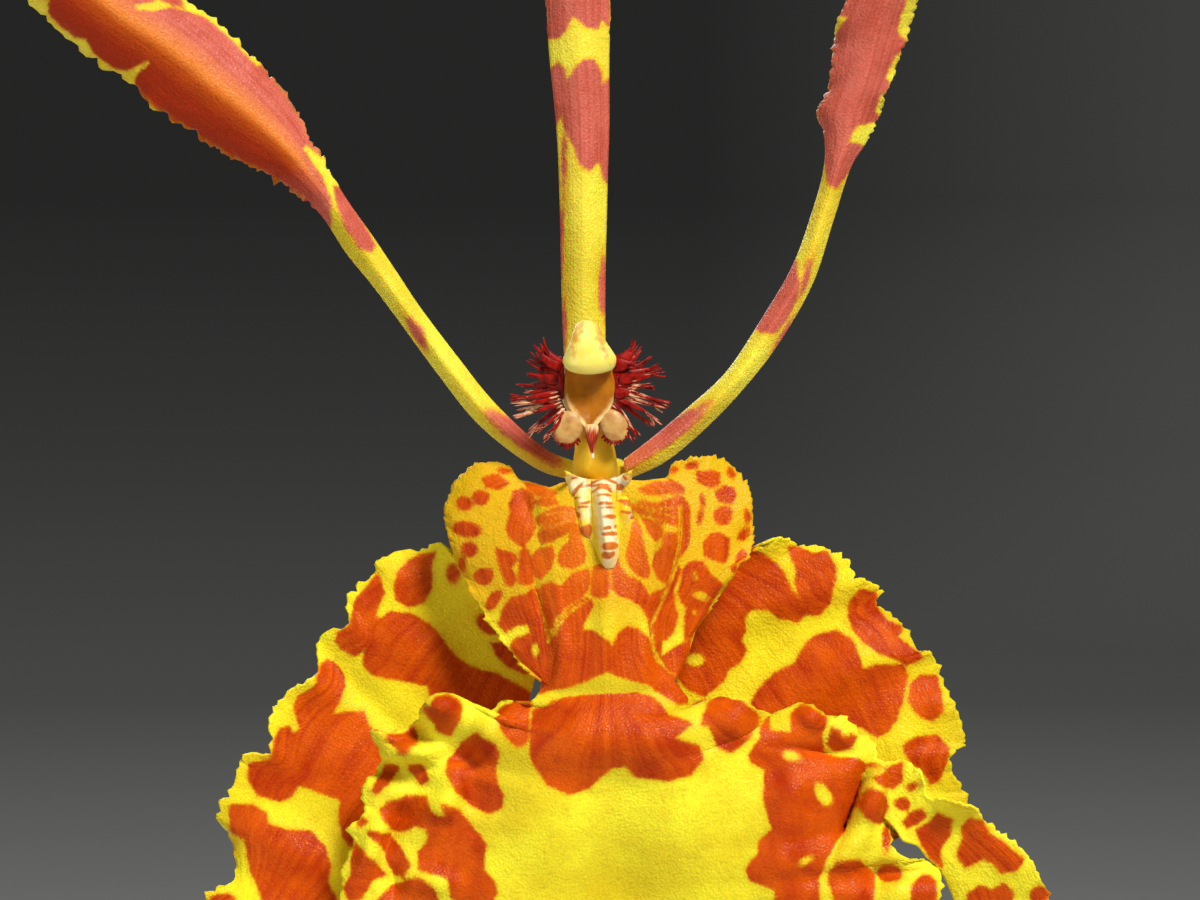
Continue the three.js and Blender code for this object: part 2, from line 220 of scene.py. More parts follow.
def along(points, samples):
    """A smooth curve through points, sampled by the share of its length that is behind it."""
    points = np.asarray(points, dtype=float)
    stations = np.interp(samples, reached(points), np.linspace(0, 1, len(points)))
    return curve_weights(len(points), stations) @ points


def profile(values, samples):
    """A smooth value through evenly spaced ones."""
    return curve_weights(len(values), samples) @ np.asarray(values, dtype=float)


def frame_along(route, shares):
    """Each place on a route by its share of the length, and the unit way ahead from it."""
    before = along(route, np.maximum(shares - ROUTE_STEP, 0))
    ahead = along(route, np.minimum(shares + ROUTE_STEP, 1)) - before
    return along(route, shares), ahead / np.linalg.norm(ahead, axis=1)[:, None]


def across_route(ahead, front):
    """Two unit directions across a route: to its side, and out of it."""
    side = np.cross(ahead, front)
    side /= np.linalg.norm(side, axis=1)[:, None]
    return side, np.cross(side, ahead)


def smooth_noise(x, y, seed):
    """Soft noise between about -0.6 and 0.6 at each place."""
    return np.array([noise.noise(Vector((a, b, seed))) for a, b in zip(x, np.broadcast_to(y, x.shape))])


def grow(bm, across, rows, place, closed=False):
    """Adds a fine grid to bm. place(u, v) says where each of its points goes, in metres, and
    may mark the points with named values. A closed grid is welded into a tube."""
    part = bmesh.new()
    bmesh.ops.create_grid(part, x_segments=across, y_segments=rows, size=0.5)
    part.verts.index_update()
    u = np.array([vert.co.x + 0.5 for vert in part.verts])
    v = np.array([vert.co.y + 0.5 for vert in part.verts])
    points, marks = place(u, v)
    for name, values in marks.items():
        layer = part.verts.layers.float.new(name)
        for vert, value in zip(part.verts, values):
            vert[layer] = value
    for vert, point in zip(part.verts, points):
        vert.co = point
    grain = part.loops.layers.uv.new("grain")
    for face in part.faces:
        for loop in face.loops:
            loop[grain].uv = (u[loop.vert.index], v[loop.vert.index])
    if closed:
        bmesh.ops.remove_doubles(part, verts=part.verts, dist=WELD_REACH)
        bmesh.ops.recalc_face_normals(part, faces=part.faces)
    pour(part, bm)


# %% Blotches: one soft field from outlines, ovals and strokes
# Fields are cut off at FIELD_LIMIT pixels, and FAR_AWAY stands for no outline nearby.
FIELD_LIMIT = 20.0
FAR_AWAY = 60.0


def turned_offsets(x, y, cx, cy, turn):
    """How far each place lies from a centre, along two axes turned by some degrees."""
    turn = math.radians(turn)
    dx = (x - cx) * math.cos(turn) + (y - cy) * math.sin(turn)
    dy = (y - cy) * math.cos(turn) - (x - cx) * math.sin(turn)
    return dx, dy


def segment_distance(x, y, start, end):
    """How many pixels each place lies from the straight way between two points."""
    ax, ay = start
    dx, dy = end[0] - ax, end[1] - ay
    share = np.clip(((x - ax) * dx + (y - ay) * dy) / (dx * dx + dy * dy), 0, 1)
    return np.hypot(x - ax - share * dx, y - ay - share * dy)


def oval_field(x, y, ovals, softness=1.1):
    """About how many pixels a place lies outside the nearest oval; below zero is inside.
    An oval is (x, y, half width, half height) with an optional turn in degrees."""
    total = np.zeros(len(x))
    for oval in ovals:
        cx, cy, rx, ry = oval[:4]
        dx, dy = turned_offsets(x, y, cx, cy, oval[4] if len(oval) > 4 else 0)
        outside = (np.hypot(dx / rx, dy / ry) - 1) * min(rx, ry)
        total += np.exp(-np.clip(outside, -20 * softness, 40 * softness) / softness)
    return -softness * np.log(total + 1e-12)


def stroke_field(x, y, strokes):
    """About how many pixels a place lies outside the nearest stroke (half width, points)."""
    nearest = np.full(len(x), FAR_AWAY)
    for half_width, points in strokes:
        for start, end in zip(points, points[1:]):
            nearest = np.minimum(nearest, segment_distance(x, y, start, end) - half_width)
    return nearest


def outline_field(x, y, outlines, rounding=0.8):
    """How many pixels a place lies outside the nearest closed outline; below zero is inside."""
    nearest = np.full(len(x), FAR_AWAY)
    for outline in outlines:
        distance = np.full(len(x), np.inf)
        inside = np.zeros(len(x), dtype=bool)
        for start, end in zip(outline, outline[1:] + outline[:1]):
            distance = np.minimum(distance, segment_distance(x, y, start, end))
            (ax, ay), (bx, by) = start, end
            if ay != by:
                inside ^= ((ay > y) != (by > y)) & (x < ax + (bx - ax) * (y - ay) / (by - ay))
        nearest = np.minimum(nearest, np.where(inside, -distance, distance) - rounding)
    return nearest


def swell_height(x, y, swells):
    """The height in mm of soft swells (x, y, half width, half height, turn, height)."""
    total = np.zeros(len(x))
    for cx, cy, rx, ry, turn, height in swells:
        dx, dy = turned_offsets(x, y, cx, cy, turn)
        total += height * np.exp(-((dx / rx) ** 2) - (dy / ry) ** 2)
    return total


def blotch_field(x, y, marks):
    """The red blotches of a piece, less the yellow holes and strokes that lie over them."""
    field = np.full(len(x), FIELD_LIMIT)
    if marks.get("outlines"):
        field = np.minimum(field, outline_field(x, y, marks["outlines"]))
    if marks.get("ovals"):
        field = np.minimum(field, oval_field(x, y, marks["ovals"]))
    if marks.get("holes"):
        field = np.maximum(field, -oval_field(x, y, marks["holes"]))
    if marks.get("strokes"):
        field = np.maximum(field, -stroke_field(x, y, marks["strokes"]))
    return np.clip(field, -FIELD_LIMIT, FIELD_LIMIT)


def store_ovals(piece, name, x, y, ovals, softness=1.1):
    """Stores on a piece how far each of its points lies outside the nearest oval."""
    field = oval_field(x, y, ovals, softness)
    set_attribute(piece.data, name, np.clip(field, -FIELD_LIMIT, FIELD_LIMIT))


# %% [markdown]
# Sepals, petals and the lip's lobes are all thin sheets. Each starts as a flat grid that the
# modeller pulls into shape: one margin, the midline and the other margin are outlines, and
# every row of the grid is a smooth arc through the three. Depth comes from the three
# outlines too. Ruffles and teeth are added where the sheet nears its margins, and a solidify
# modifier gives it its thickness.

# %% A sheet between two margins


def arc_through(sides, u):
    """The smooth arc across a sheet through its left margin, its midline and its right margin."""
    pulls = ((1 - u) * (1 - 2 * u), 4 * u * (1 - u), u * (2 * u - 1))
    return sum(pull[:, None] * side for pull, side in zip(pulls, sides))


def sheet_shape(left, middle, right, u, v, knots=None):
    """Where each (u, v) of a sheet lies, as (pixel x, pixel y, back). An outline may be cut in
    two runs, and knots then says at which v the second run starts."""

    def outline(points):
        if knots is None:
            return along(points, v)
        first, second = points
        near = along(first, np.clip(v / knots, 0, 1))
        far = along(second, np.clip((v - knots) / (1 - knots), 0, 1))
        return np.where((v < knots)[:, None], near, far)

    return arc_through([outline(left), outline(middle), outline(right)], u)


# The noise stays within about 0.6 either way, and this brings it to about 1.
NOISE_GAIN = 1.6


def ruffled(shape, ruffle, teeth, tip, swells, smooth_until, one_sided, seed):
    """Adds ruffles and teeth to a sheet where it nears its margins, and its swells.
    ruffle is (depth in mm, waves along, pixels sideways), teeth is (pixels, teeth along).
    Up to smooth_until, a share of the length, the margins stay smooth. The second margin of
    a one sided sheet is hidden and stays smooth too."""
    deep, waves, sideways = ruffle
    bite, count = teeth

    def place(u, v):
        spot = shape(u, v)
        centre = shape(np.full_like(u, 0.5), v)
        outward = spot[:, :2] - centre[:, :2]
        reach = np.linalg.norm(outward, axis=1)
        outward /= np.maximum(reach, 1)[:, None]
        edge = np.where(u > 0.5, 9.0, 2.0)
        side = np.abs(2 * u - 1)
        end = np.clip((v - 0.8) / 0.2, 0, 1) if tip else 0 * v
        rough = np.clip((v - smooth_until) / 0.03, 0, 1)
        if one_sided:
            rough = rough * (u < 0.5)
        near_margin = np.maximum(side * rough, end)
        wave = smooth_noise(v * waves, edge + (u - 0.5) * 0.8, seed)
        spot[:, 2] += NOISE_GAIN * deep * near_margin**3 * wave
        sway = NOISE_GAIN * sideways * near_margin**5 * smooth_noise(v * waves * 1.7, edge, seed + 3)
        tooth = smooth_noise(v * count, edge, seed + 5)
        tooth += 0.5 * smooth_noise(v * count * 2.3, edge, seed + 7)
        spot[:, :2] += outward * (rough * (sway + NOISE_GAIN * bite * side**14 * tooth))[:, None]
        spot[:, 1] += NOISE_GAIN * bite * end**6 * smooth_noise(u * count * 0.6, edge * 0, seed + 6)
        spot[:, 2] += 0.12 * bite * rough * side**10 * smooth_noise(v * count * 1.3, edge, seed + 8)
        if swells:
            spot[:, 2] -= swell_height(spot[:, 0], spot[:, 1], swells)
        half_width = np.where(side > 0.02, reach / np.maximum(side, 0.02), 900)
        margin = half_width * (1 - side)
        margin = np.minimum(margin, np.where(end > 0, (1 - v) * 900, 900))
        rim = margin + 40 * (1 - np.maximum(rough, end))
        return seen(spot), {"pixel_x": spot[:, 0], "pixel_y": spot[:, 1], "margin": margin, "rim": rim}

    return place


def add_sheet(
    bm, shape, across, rows, ruffle=(0, 1, 0), teeth=(0, 1), tip=True, swells=(), smooth_until=-1,
    one_sided=False, seed=0,
):
    grow(bm, across, rows, ruffled(shape, ruffle, teeth, tip, swells, smooth_until, one_sided, seed))


def read_attribute(mesh, name):
    values = np.zeros(len(mesh.vertices), dtype=np.float32)
    mesh.attributes[name].data.foreach_get("value", values)
    return values


GLOW_SPOT = (603, 512)
GLOW_REACH = 95
# Painted shade: round this spot, the hollow low on the lip's middle lobe, the yellow turns olive.
HOLLOW_SHADE_SPOT = (622, 892)
HOLLOW_SHADE_REACH = 75
WARM_ABOVE = 640
WARM_FADE = 60


def near_spot(x, y, spot, reach):
    """1 at a spot in the photograph, and less with distance until 0 at its reach."""
    return np.clip(1 - np.hypot(x - spot[0], y - spot[1]) / reach, 0, 1)


def paint_blotches(piece, marks):
    """Stores the blotch field on a piece, how near each place is to the glow by the callus,
    and how near it is to the hollow low on the lip, where olive shade is painted on."""
    mesh = piece.data
    x = read_attribute(mesh, "pixel_x")
    y = read_attribute(mesh, "pixel_y")
    set_attribute(mesh, "blotch", blotch_field(x, y, marks))
    set_attribute(mesh, "glow", near_spot(x, y, GLOW_SPOT, GLOW_REACH))
    set_attribute(mesh, "warm", np.clip((WARM_ABOVE - y) / WARM_FADE, 0, 1))
    set_attribute(mesh, "painted_hollow_shade", near_spot(x, y, HOLLOW_SHADE_SPOT, HOLLOW_SHADE_REACH))


def face_camera(bm):
    """Turns a sheet's faces so that most of them look to the front."""
    bm.normal_update()
    if sum(face.normal.y * face.calc_area() for face in bm.faces) > 0:
        bmesh.ops.reverse_faces(bm, faces=bm.faces)


EDGE_LEVELS = 16


def thicken(piece, thickness, soft_margin=14):
    """Gives a sheet its thickness. It thins out over the last pixels before its margin."""
    margin = read_attribute(piece.data, "margin")
    levels = np.round(np.clip(margin / soft_margin, 0, 1) * EDGE_LEVELS).astype(int)
    group = piece.vertex_groups.new(name="fullness")
    for level in range(EDGE_LEVELS + 1):
        group.add(np.flatnonzero(levels == level).tolist(), level / EDGE_LEVELS, "REPLACE")
    solid = piece.modifiers.new("thickness", "SOLIDIFY")
    solid.thickness = thickness * MM
    solid.offset = 0
    solid.vertex_group = group.name
    solid.thickness_vertex_group = 0.3


# %% Helpers for finishes


class Nodes:
    """Builds a node tree in short steps, each of which returns an output."""

    def __init__(self, name):
        self.material = bpy.data.materials.new(name)
        self.material.use_nodes = True
        self.tree = self.material.node_tree
        self.shader = self.tree.nodes["Principled BSDF"]
        self.object = self.tree.nodes.new("ShaderNodeTexCoord").outputs["Object"]

    def add(self, kind, *inputs, **settings):
        node = self.tree.nodes.new(kind)
        for key, value in settings.items():
            if key in node.inputs:
                node.inputs[key].default_value = value
            else:
                setattr(node, key, value)
        for socket, value in zip(node.inputs, inputs):
            if value is not None:
                self.put(socket, value)
        return node

    def put(self, socket, value):
        if isinstance(value, bpy.types.NodeSocket):
            self.tree.links.new(value, socket)
        elif isinstance(value, (tuple, list)) and len(value) == 3 and socket.type == "RGBA":
            socket.default_value = (*value, 1)
        else:
            socket.default_value = value

    def attribute(self, name):
        return self.add("ShaderNodeAttribute", attribute_name=name).outputs["Fac"]

    def math(self, operation, a, b=0.0, clamp=False):
        return self.add("ShaderNodeMath", a, b, operation=operation, use_clamp=clamp).outputs[0]

    def plus(self, a, b, clamp=False):
        return self.math("ADD", a, b, clamp)

    def times(self, a, b):
        return self.math("MULTIPLY", a, b)

    def grain(self):
        """The map of a piece's own grid: x runs across it and y along it."""
        return self.add("ShaderNodeUVMap", uv_map="grain").outputs[0]

    def axes(self, vector):
        return self.add("ShaderNodeSeparateXYZ", vector).outputs

    def stretch(self, vector, scale):
        return self.add("ShaderNodeMapping", vector, Scale=scale).outputs[0]

    def noise(self, scale, detail=2.0, vector=None, roughness=0.5):
        node = self.add("ShaderNodeTexNoise", Scale=scale, Detail=detail, Roughness=roughness)
        self.put(node.inputs["Vector"], vector or self.object)
        return node.outputs["Fac"]

    def cells(self, scale, vector=None, feature="F1"):
        node = self.add("ShaderNodeTexVoronoi", Scale=scale, feature=feature)
        self.put(node.inputs["Vector"], vector or self.object)
        return node.outputs["Distance"]

    def span(self, value, low, high, to_low=0.0, to_high=1.0):
        node = self.add("ShaderNodeMapRange", value)
        node.inputs["From Min"].default_value = low
        node.inputs["From Max"].default_value = high
        node.inputs["To Min"].default_value = to_low
        node.inputs["To Max"].default_value = to_high
        return node.outputs[0]

    def patches(self, scale, detail, low, high, to_low=0.0, to_high=1.0):
        """Noise that is stretched from a narrow range to another one."""
        return self.span(self.noise(scale, detail), low, high, to_low, to_high)

    def mix(self, factor, a, b, blend="MIX"):
        node = self.add("ShaderNodeMix", data_type="RGBA", blend_type=blend)
        self.put(node.inputs["Factor"], factor)
        self.put(node.inputs[6], a)
        self.put(node.inputs[7], b)
        return node.outputs[2]

    def bump(self, height, strength, distance, normal=None):
        node = self.add("ShaderNodeBump", Strength=strength, Distance=distance)
        self.put(node.inputs["Height"], height)
        if normal:
            self.put(node.inputs["Normal"], normal)
        return node.outputs[0]

    def surface(self, colour, roughness, normal=None, **constants):
        self.put(self.shader.inputs["Base Color"], colour)
        self.put(self.shader.inputs["Roughness"], roughness)
        if normal:
            self.put(self.shader.inputs["Normal"], normal)
        for key, value in constants.items():
            self.shader.inputs[key.replace("_", " ")].default_value = value
        return self.material


# %% [markdown]
# Petal skin. Up close an orchid petal is a field of tiny domed cells that glitter a little,
# with fine veins along its length. The colour comes in two coats: yellow, and the orange red
# of the blotches. The edge between them is the blotch field, made ragged with noise.

# %% Petal finish
LEMON = (0.92, 0.78, 0.016)
BRIGHT_LEMON = (0.97, 0.88, 0.030)
PALE_LEMON = (0.90, 0.79, 0.055)
GOLD = (0.79, 0.45, 0.008)
OLIVE = (0.62, 0.45, 0.008)
BLAZE = (0.86, 0.30, 0.006)
FLAME = (0.69, 0.098, 0.001)
EMBER = (0.46, 0.034, 0.001)
APRICOT = (0.84, 0.235, 0.006)
TANGERINE = (0.76, 0.22, 0.03)
# The next two reds are painted shade, for the shaded half of a petal blade below its midrib.
FOLD_SHADE_ORANGE = (0.56, 0.090, 0.003)
FOLD_SHADE_RED = (0.44, 0.030, 0.001)
# The petals' two reds are lightened towards pink: partly their own colour, partly painted sheen.
ROSE = (0.66, 0.145, 0.095)
MAROON = (0.50, 0.075, 0.040)


def petal_finish(
    name, yellow=LEMON, red=FLAME, deep_red=EMBER, ragged=2.4, soft=1.6, shine=0.1, warmth=0.0,
    painted_fold_shade=False, rim_width=2.4,
):
    n = Nodes(name)
    grain = n.grain()
    veins = n.noise(1.0, 4.0, n.stretch(grain, (26, 3, 1)))
    shake = n.plus(n.noise(1200, 4.0, roughness=0.6), n.times(n.noise(4800, 1.0), 0.3))
    shake = n.times(n.math("SUBTRACT", shake, 0.65), ragged * 2)
    edge = n.plus(n.attribute("blotch"), shake)
    covered = n.span(edge, -soft, soft, 1.0, 0.0)
    rim = n.span(n.plus(n.attribute("rim"), shake), 0.3, rim_width, 0.8, 0.0)
    covered = n.math("SUBTRACT", covered, rim, clamp=True)
    warm_share = n.times(n.attribute("warm"), warmth)
    gold_share = n.plus(warm_share, n.span(edge, 0.5, 6.0, 0.5, 0.0))
    gold_share = n.plus(gold_share, n.patches(260, 4.0, 0.42, 0.75, 0.0, 0.55), clamp=True)
    yellow_skin = n.mix(gold_share, yellow, GOLD)
    yellow_skin = n.mix(n.patches(110, 3.0, 0.50, 0.74, 0.0, 0.75), yellow_skin, OLIVE)
    yellow_skin = n.mix(n.patches(620, 2.0, 0.62, 0.80, 0.0, 0.5), yellow_skin, OLIVE)
    # Painted shade: olive in the hollow low on the lip, on top of the shade the hollow gets from the light.
    yellow_skin = n.mix(n.span(n.attribute("painted_hollow_shade"), 0.0, 0.8, 0.0, 0.55), yellow_skin, OLIVE)
    cloud = n.plus(n.times(veins, 0.5), n.times(n.noise(420, 4.0), 0.5))
    red_skin = n.mix(n.span(cloud, 0.38, 0.60), deep_red, red)
    # Painted shade: below the orange midrib the blade is painted in darker reds, the shade of its lower half.
    if painted_fold_shade:
        place = n.axes(grain)
        below = n.mix(n.span(place["X"], 0.28, 0.48), FOLD_SHADE_RED, FOLD_SHADE_ORANGE)
        above = n.mix(n.span(place["X"], 0.54, 0.74), TANGERINE, red_skin)
        both = n.mix(n.span(place["X"], 0.44, 0.54), below, above)
        red_skin = n.mix(n.span(place["Y"], 0.42, 0.50), red_skin, both)
    red_skin = n.mix(n.times(n.attribute("glow"), 0.8), red_skin, APRICOT)
    seam = n.mix(n.span(edge, -1.0, 2.4, 0.0, 1.0), red_skin, BLAZE)
    colour = n.mix(covered, n.mix(n.span(edge, 0.0, 2.6, 0.7, 0.0), yellow_skin, seam), red_skin)
    dots = n.cells(5600)
    shade = n.mix(n.span(dots, 0.1, 0.9), (1, 1, 1), (0.86, 0.84, 0.82))
    colour = n.mix(1.0, colour, shade, "MULTIPLY")
    domes = n.bump(dots, 0.6, 0.00007)
    crinkle = n.bump(n.noise(520, 3.0), 0.3, 0.0006, domes)
    normal = n.bump(veins, 0.2, 0.0004, crinkle)
    rough = n.patches(2400, 2.0, 0.35, 0.65, 0.26, 0.56)
    return n.surface(
        colour, rough, normal, Subsurface_Weight=0.2, Subsurface_Scale=0.0006, Specular_IOR_Level=shine
    )


lip_skin = petal_finish("lip_skin", yellow=BRIGHT_LEMON, warmth=0.95)
sepal_skin = petal_finish("sepal_skin", shine=0.08)
petal_skin = petal_finish("petal_skin", yellow=PALE_LEMON, red=ROSE, deep_red=MAROON, shine=0.25)
painted_fold_shade_skin = petal_finish(
    "painted_fold_shade_skin", yellow=PALE_LEMON, red=ROSE, deep_red=MAROON, shine=0.12, painted_fold_shade=True, rim_width=4.5
)


def petal_piece(name, shape, thickness, skin, slot, marks, **grid):
    bm = bmesh.new()
    add_sheet(bm, shape, **grid)
    face_camera(bm)
    piece = finish_mesh(bm, name)
    paint_blotches(piece, marks)
    thicken(piece, thickness)
    piece.data.materials.append(skin)
    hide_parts(name)
    print(name, "faces:", len(piece.data.polygons))
    return piece


def strap_shape(rows, fold):
    """A sheet from rows of (left x, left y, right x, right y, back). fold is how many mm the
    margins lie behind the midline, from base to tip."""
    rows = np.asarray(rows, dtype=float)
    left = rows[:, (0, 1, 4)]
    right = rows[:, (2, 3, 4)]
    middle = (left + right) / 2

    def shape(u, v):
        weights = curve_weights(len(rows), v)
        place = arc_through([weights @ left, weights @ middle, weights @ right], u)
        place[:, 2] += profile(fold, v) * np.abs(2 * u - 1) ** 1.5
        return place

    return shape


# %% [markdown]
# The dorsal sepal is the strap that stands behind the column. It is a plain ribbon with its
# margins bent back a little, so its midline catches the light.

# %% Dorsal sepal
DORSAL_ROWS = [
    (580, 478, 606, 478, 3.8), (568, 400, 606, 400, 4.4), (564, 344, 605, 340, 4.8),
    (562, 287, 605, 275, 4.9), (560, 195, 607, 188, 5.0), (557, 129, 609, 120, 5.0),
    (549, 46, 609, 50, 4.8), (545, -30, 612, -30, 4.4), (540, -130, 624, -130, 3.6),
    (540, -240, 640, -240, 2.4), (548, -340, 648, -340, 1.0), (572, -420, 634, -420, -0.2),
    (600, -468, 610, -468, -0.8),
]
DORSAL_FOLD = [0.3, 0.8, 1.0, 1.0, 1.0, 1.2, 1.0, 0.4]
DORSAL_THICKNESS = 0.45
DORSAL_MARKS = {
    "outlines": [
        [(530, -60), (625, -60), (610, 0), (609, 24), (600, 18), (595, 28), (585, 26), (573, 14), (566, 30),
         (560, 37), (546, 38), (542, 0)],
        [(550, 72), (559, 63), (565, 70), (568, 84), (576, 70), (584, 61), (592, 61), (598, 72), (600, 86),
         (612, 78), (612, 130), (607, 182), (603, 178), (600, 164), (594, 162), (588, 170), (582, 165),
         (578, 150), (572, 138), (566, 128), (564, 112), (560, 118), (553, 128), (549, 100)],
    ],
    "ovals": [
        (570, -90, 60, 60), (600, -180, 60, 60), (592, -300, 42, 50), (600, -420, 26, 40),
        (565, 160, 2, 20), (562, 230, 2.6, 15), (603, 288, 5, 26), (565, 324, 2.2, 18),
        (562, 262, 1.4, 8),
    ],
}
petal_piece(
    "dorsal_sepal", strap_shape(DORSAL_ROWS, DORSAL_FOLD), DORSAL_THICKNESS, petal_skin, "tepal_red",
    DORSAL_MARKS,
    across=24, rows=260, ruffle=(0.3, 14, 1), teeth=(1.6, 120), smooth_until=0.5, seed=11,
)

# %% [markdown]
# The petals have a long narrow stalk and a broad blade with a fold along its midrib like
# a roof. Light from above falls on the upper half only, so the lower half lies in shade and
# looks maroon. On the left petal this shade is also painted on, as darker reds below the midrib.

# %% Petals
PETAL_THICKNESS = 0.45
PETAL_LEFT_ROWS = [
    (574, 480, 577, 463, 2.4), (535, 467, 543, 448, 2.8), (480, 425, 495, 404, 3.2),
    (437, 372, 457, 357, 3.6), (399, 320, 420, 308, 3.9), (372, 284, 396, 272, 4.0),
    (346, 252, 372, 236, 4.0), (321, 214, 344, 196, 3.9), (294, 192, 319, 153, 3.8),
    (263, 172, 300, 118, 3.6), (230, 156, 272, 78, 3.4), (187, 129, 246, 50, 3.2), (134, 88, 203, 12, 2.8),
    (82, 50, 152, -20, 2.2), (27, 0, 96, -66, 1.4), (-18, -46, 44, -104, 0.6), (-48, -88, -4, -130, -0.2),
    (-60, -124, -52, -132, -0.8),
]
PETAL_LEFT_FOLD = [0.4, 0.7, 0.7, 0.7, 0.7, 1.3, 2.0, 2.1, 1.8, 1.0, 0.2]
PETAL_LEFT_MARKS = {
    "outlines": [
        [(40, -60), (53, 0), (50, 12), (62, 24), (76, 35), (88, 36), (95, 51), (115, 66), (128, 68),
         (148, 58), (153, 63), (139, 73), (134, 90), (158, 108), (176, 123), (196, 138), (218, 154),
         (240, 172), (262, 180), (292, 196), (318, 216), (331, 226), (330, 205), (323, 185), (310, 164),
         (300, 149), (306, 145), (322, 156), (326, 142), (312, 112), (290, 86), (268, 62), (256, 69),
         (243, 55), (226, 38), (208, 22), (190, 15), (170, 11), (152, 14), (136, 12), (130, 6), (150, 2),
         (162, -4), (165, -20), (120, -60)],
        [(334, 188), (340, 188), (353, 208), (363, 226), (373, 246), (370, 252), (362, 248), (348, 228),
         (338, 208)],
        [(158, 0), (168, 4), (182, 8), (176, -10), (150, -24)],
    ],
    "ovals": [(20, -50, 60, 28, 44), (418, 333, 16, 4, 58), (524, 438, 42, 8, 36), (80, -40, 60, 30, 40)],
}
PETAL_RIGHT_ROWS = [
    (624, 460, 625, 480, 2.4), (655, 436, 664, 462, 2.8), (686, 410, 701, 432, 3.2),
    (726, 373, 740, 392, 3.6), (759, 324, 777, 345, 3.9), (793, 266, 812, 284, 4.0),
    (814, 208, 833, 220, 4.0), (824, 170, 850, 168, 3.9), (825, 138, 866, 142, 3.8),
    (818, 113, 879, 114, 3.6), (829, 86, 889, 86, 3.4), (833, 54, 900, 56, 3.2), (836, 27, 910, 25, 2.9),
    (849, -8, 921, -8, 2.4), (864, -66, 944, -58, 1.7), (884, -140, 968, -130, 0.9),
    (912, -214, 984, -200, 0.1), (962, -266, 972, -262, -0.6),
]
PETAL_RIGHT_FOLD = [0.4, 0.7, 0.7, 0.7, 0.7, 1.0, 1.2, 1.3, 1.2, 0.8, 0.2]
PETAL_RIGHT_MARKS = {
    "outlines": [
        [(850, -60), (838, 0), (838, 14), (850, 17), (842, 27), (836, 40), (826, 50), (822, 66), (810, 96),
         (800, 112), (810, 134), (822, 142), (826, 158), (828, 172), (830, 184), (835, 186), (843, 177),
         (856, 160), (872, 150), (862, 147), (846, 142), (851, 131), (857, 123), (868, 122), (882, 120),
         (872, 111), (876, 100), (880, 91), (892, 92), (884, 78), (888, 66), (893, 54), (914, 46),
         (898, 38), (894, 31), (898, 14), (907, -10), (908, -60)],
        [(788, 256), (796, 262), (798, 282), (794, 300), (785, 318), (773, 332), (762, 332), (750, 324),
         (764, 298), (778, 270)],
    ],
    "ovals": [
        (880, -60, 30, 50, 15), (912, -120, 34, 70, 15), (940, -200, 26, 44, 18), (662, 438, 50, 8, -36),
        (805, 277, 2, 13, 18), (783, 333, 1.8, 12, 32),
    ],
}

petal_piece(
    "petal_left", strap_shape(PETAL_LEFT_ROWS, PETAL_LEFT_FOLD), PETAL_THICKNESS, painted_fold_shade_skin, "tepal_red",
    PETAL_LEFT_MARKS,
    across=34, rows=260, ruffle=(0.6, 16, 3), teeth=(4.6, 90), smooth_until=0.42, seed=21,
)
petal_piece(
    "petal_right", strap_shape(PETAL_RIGHT_ROWS, PETAL_RIGHT_FOLD), PETAL_THICKNESS, petal_skin, "tepal_red",
    PETAL_RIGHT_MARKS,
    across=34, rows=260, ruffle=(0.6, 16, 2), teeth=(2.6, 110), smooth_until=0.46, seed=31,
)

# %% [markdown]
# The lateral sepals lie behind the lip, one on each side. Their outer margins are frilled.
# The inner margins are hidden from the front.

# %% Lateral sepals
SEPAL_THICKNESS = 0.5
SEPAL_LEFT_OUTER = [
    (580, 500), (520, 528), (480, 560), (457, 560), (443, 545), (431, 543), (419, 551), (403, 550),
    (379, 558), (375, 575), (351, 591), (346, 608), (350, 618), (345, 627), (330, 629), (318, 643),
    (317, 672), (304, 683), (290, 688), (273, 709), (270, 726), (269, 752), (245, 755), (233, 785),
    (218, 811), (219, 822), (231, 837), (236, 865), (232, 884), (212, 889), (204, 902), (196, 930),
    (200, 958), (186, 985), (190, 1010),
]
SEPAL_LEFT_MIDDLE = [
    (590, 505), (520, 570), (455, 640), (410, 700), (365, 765), (310, 840), (262, 920), (196, 1012),
]
SEPAL_LEFT_INNER = [
    (602, 508), (588, 560), (560, 625), (541, 655), (532, 690), (510, 760), (460, 830), (390, 905),
    (300, 980), (202, 1016),
]
SEPAL_LEFT_BACK = (
    [3.8, 4.4, 5.2, 5.6, 5.6, 5.0, 4.0, 2.6], [3.8, 4.8, 5.4, 5.2, 4.6, 3.8, 2.6, 1.6],
    [3.8, 4.6, 5, 5, 4.6, 4, 3, 1.6],
)
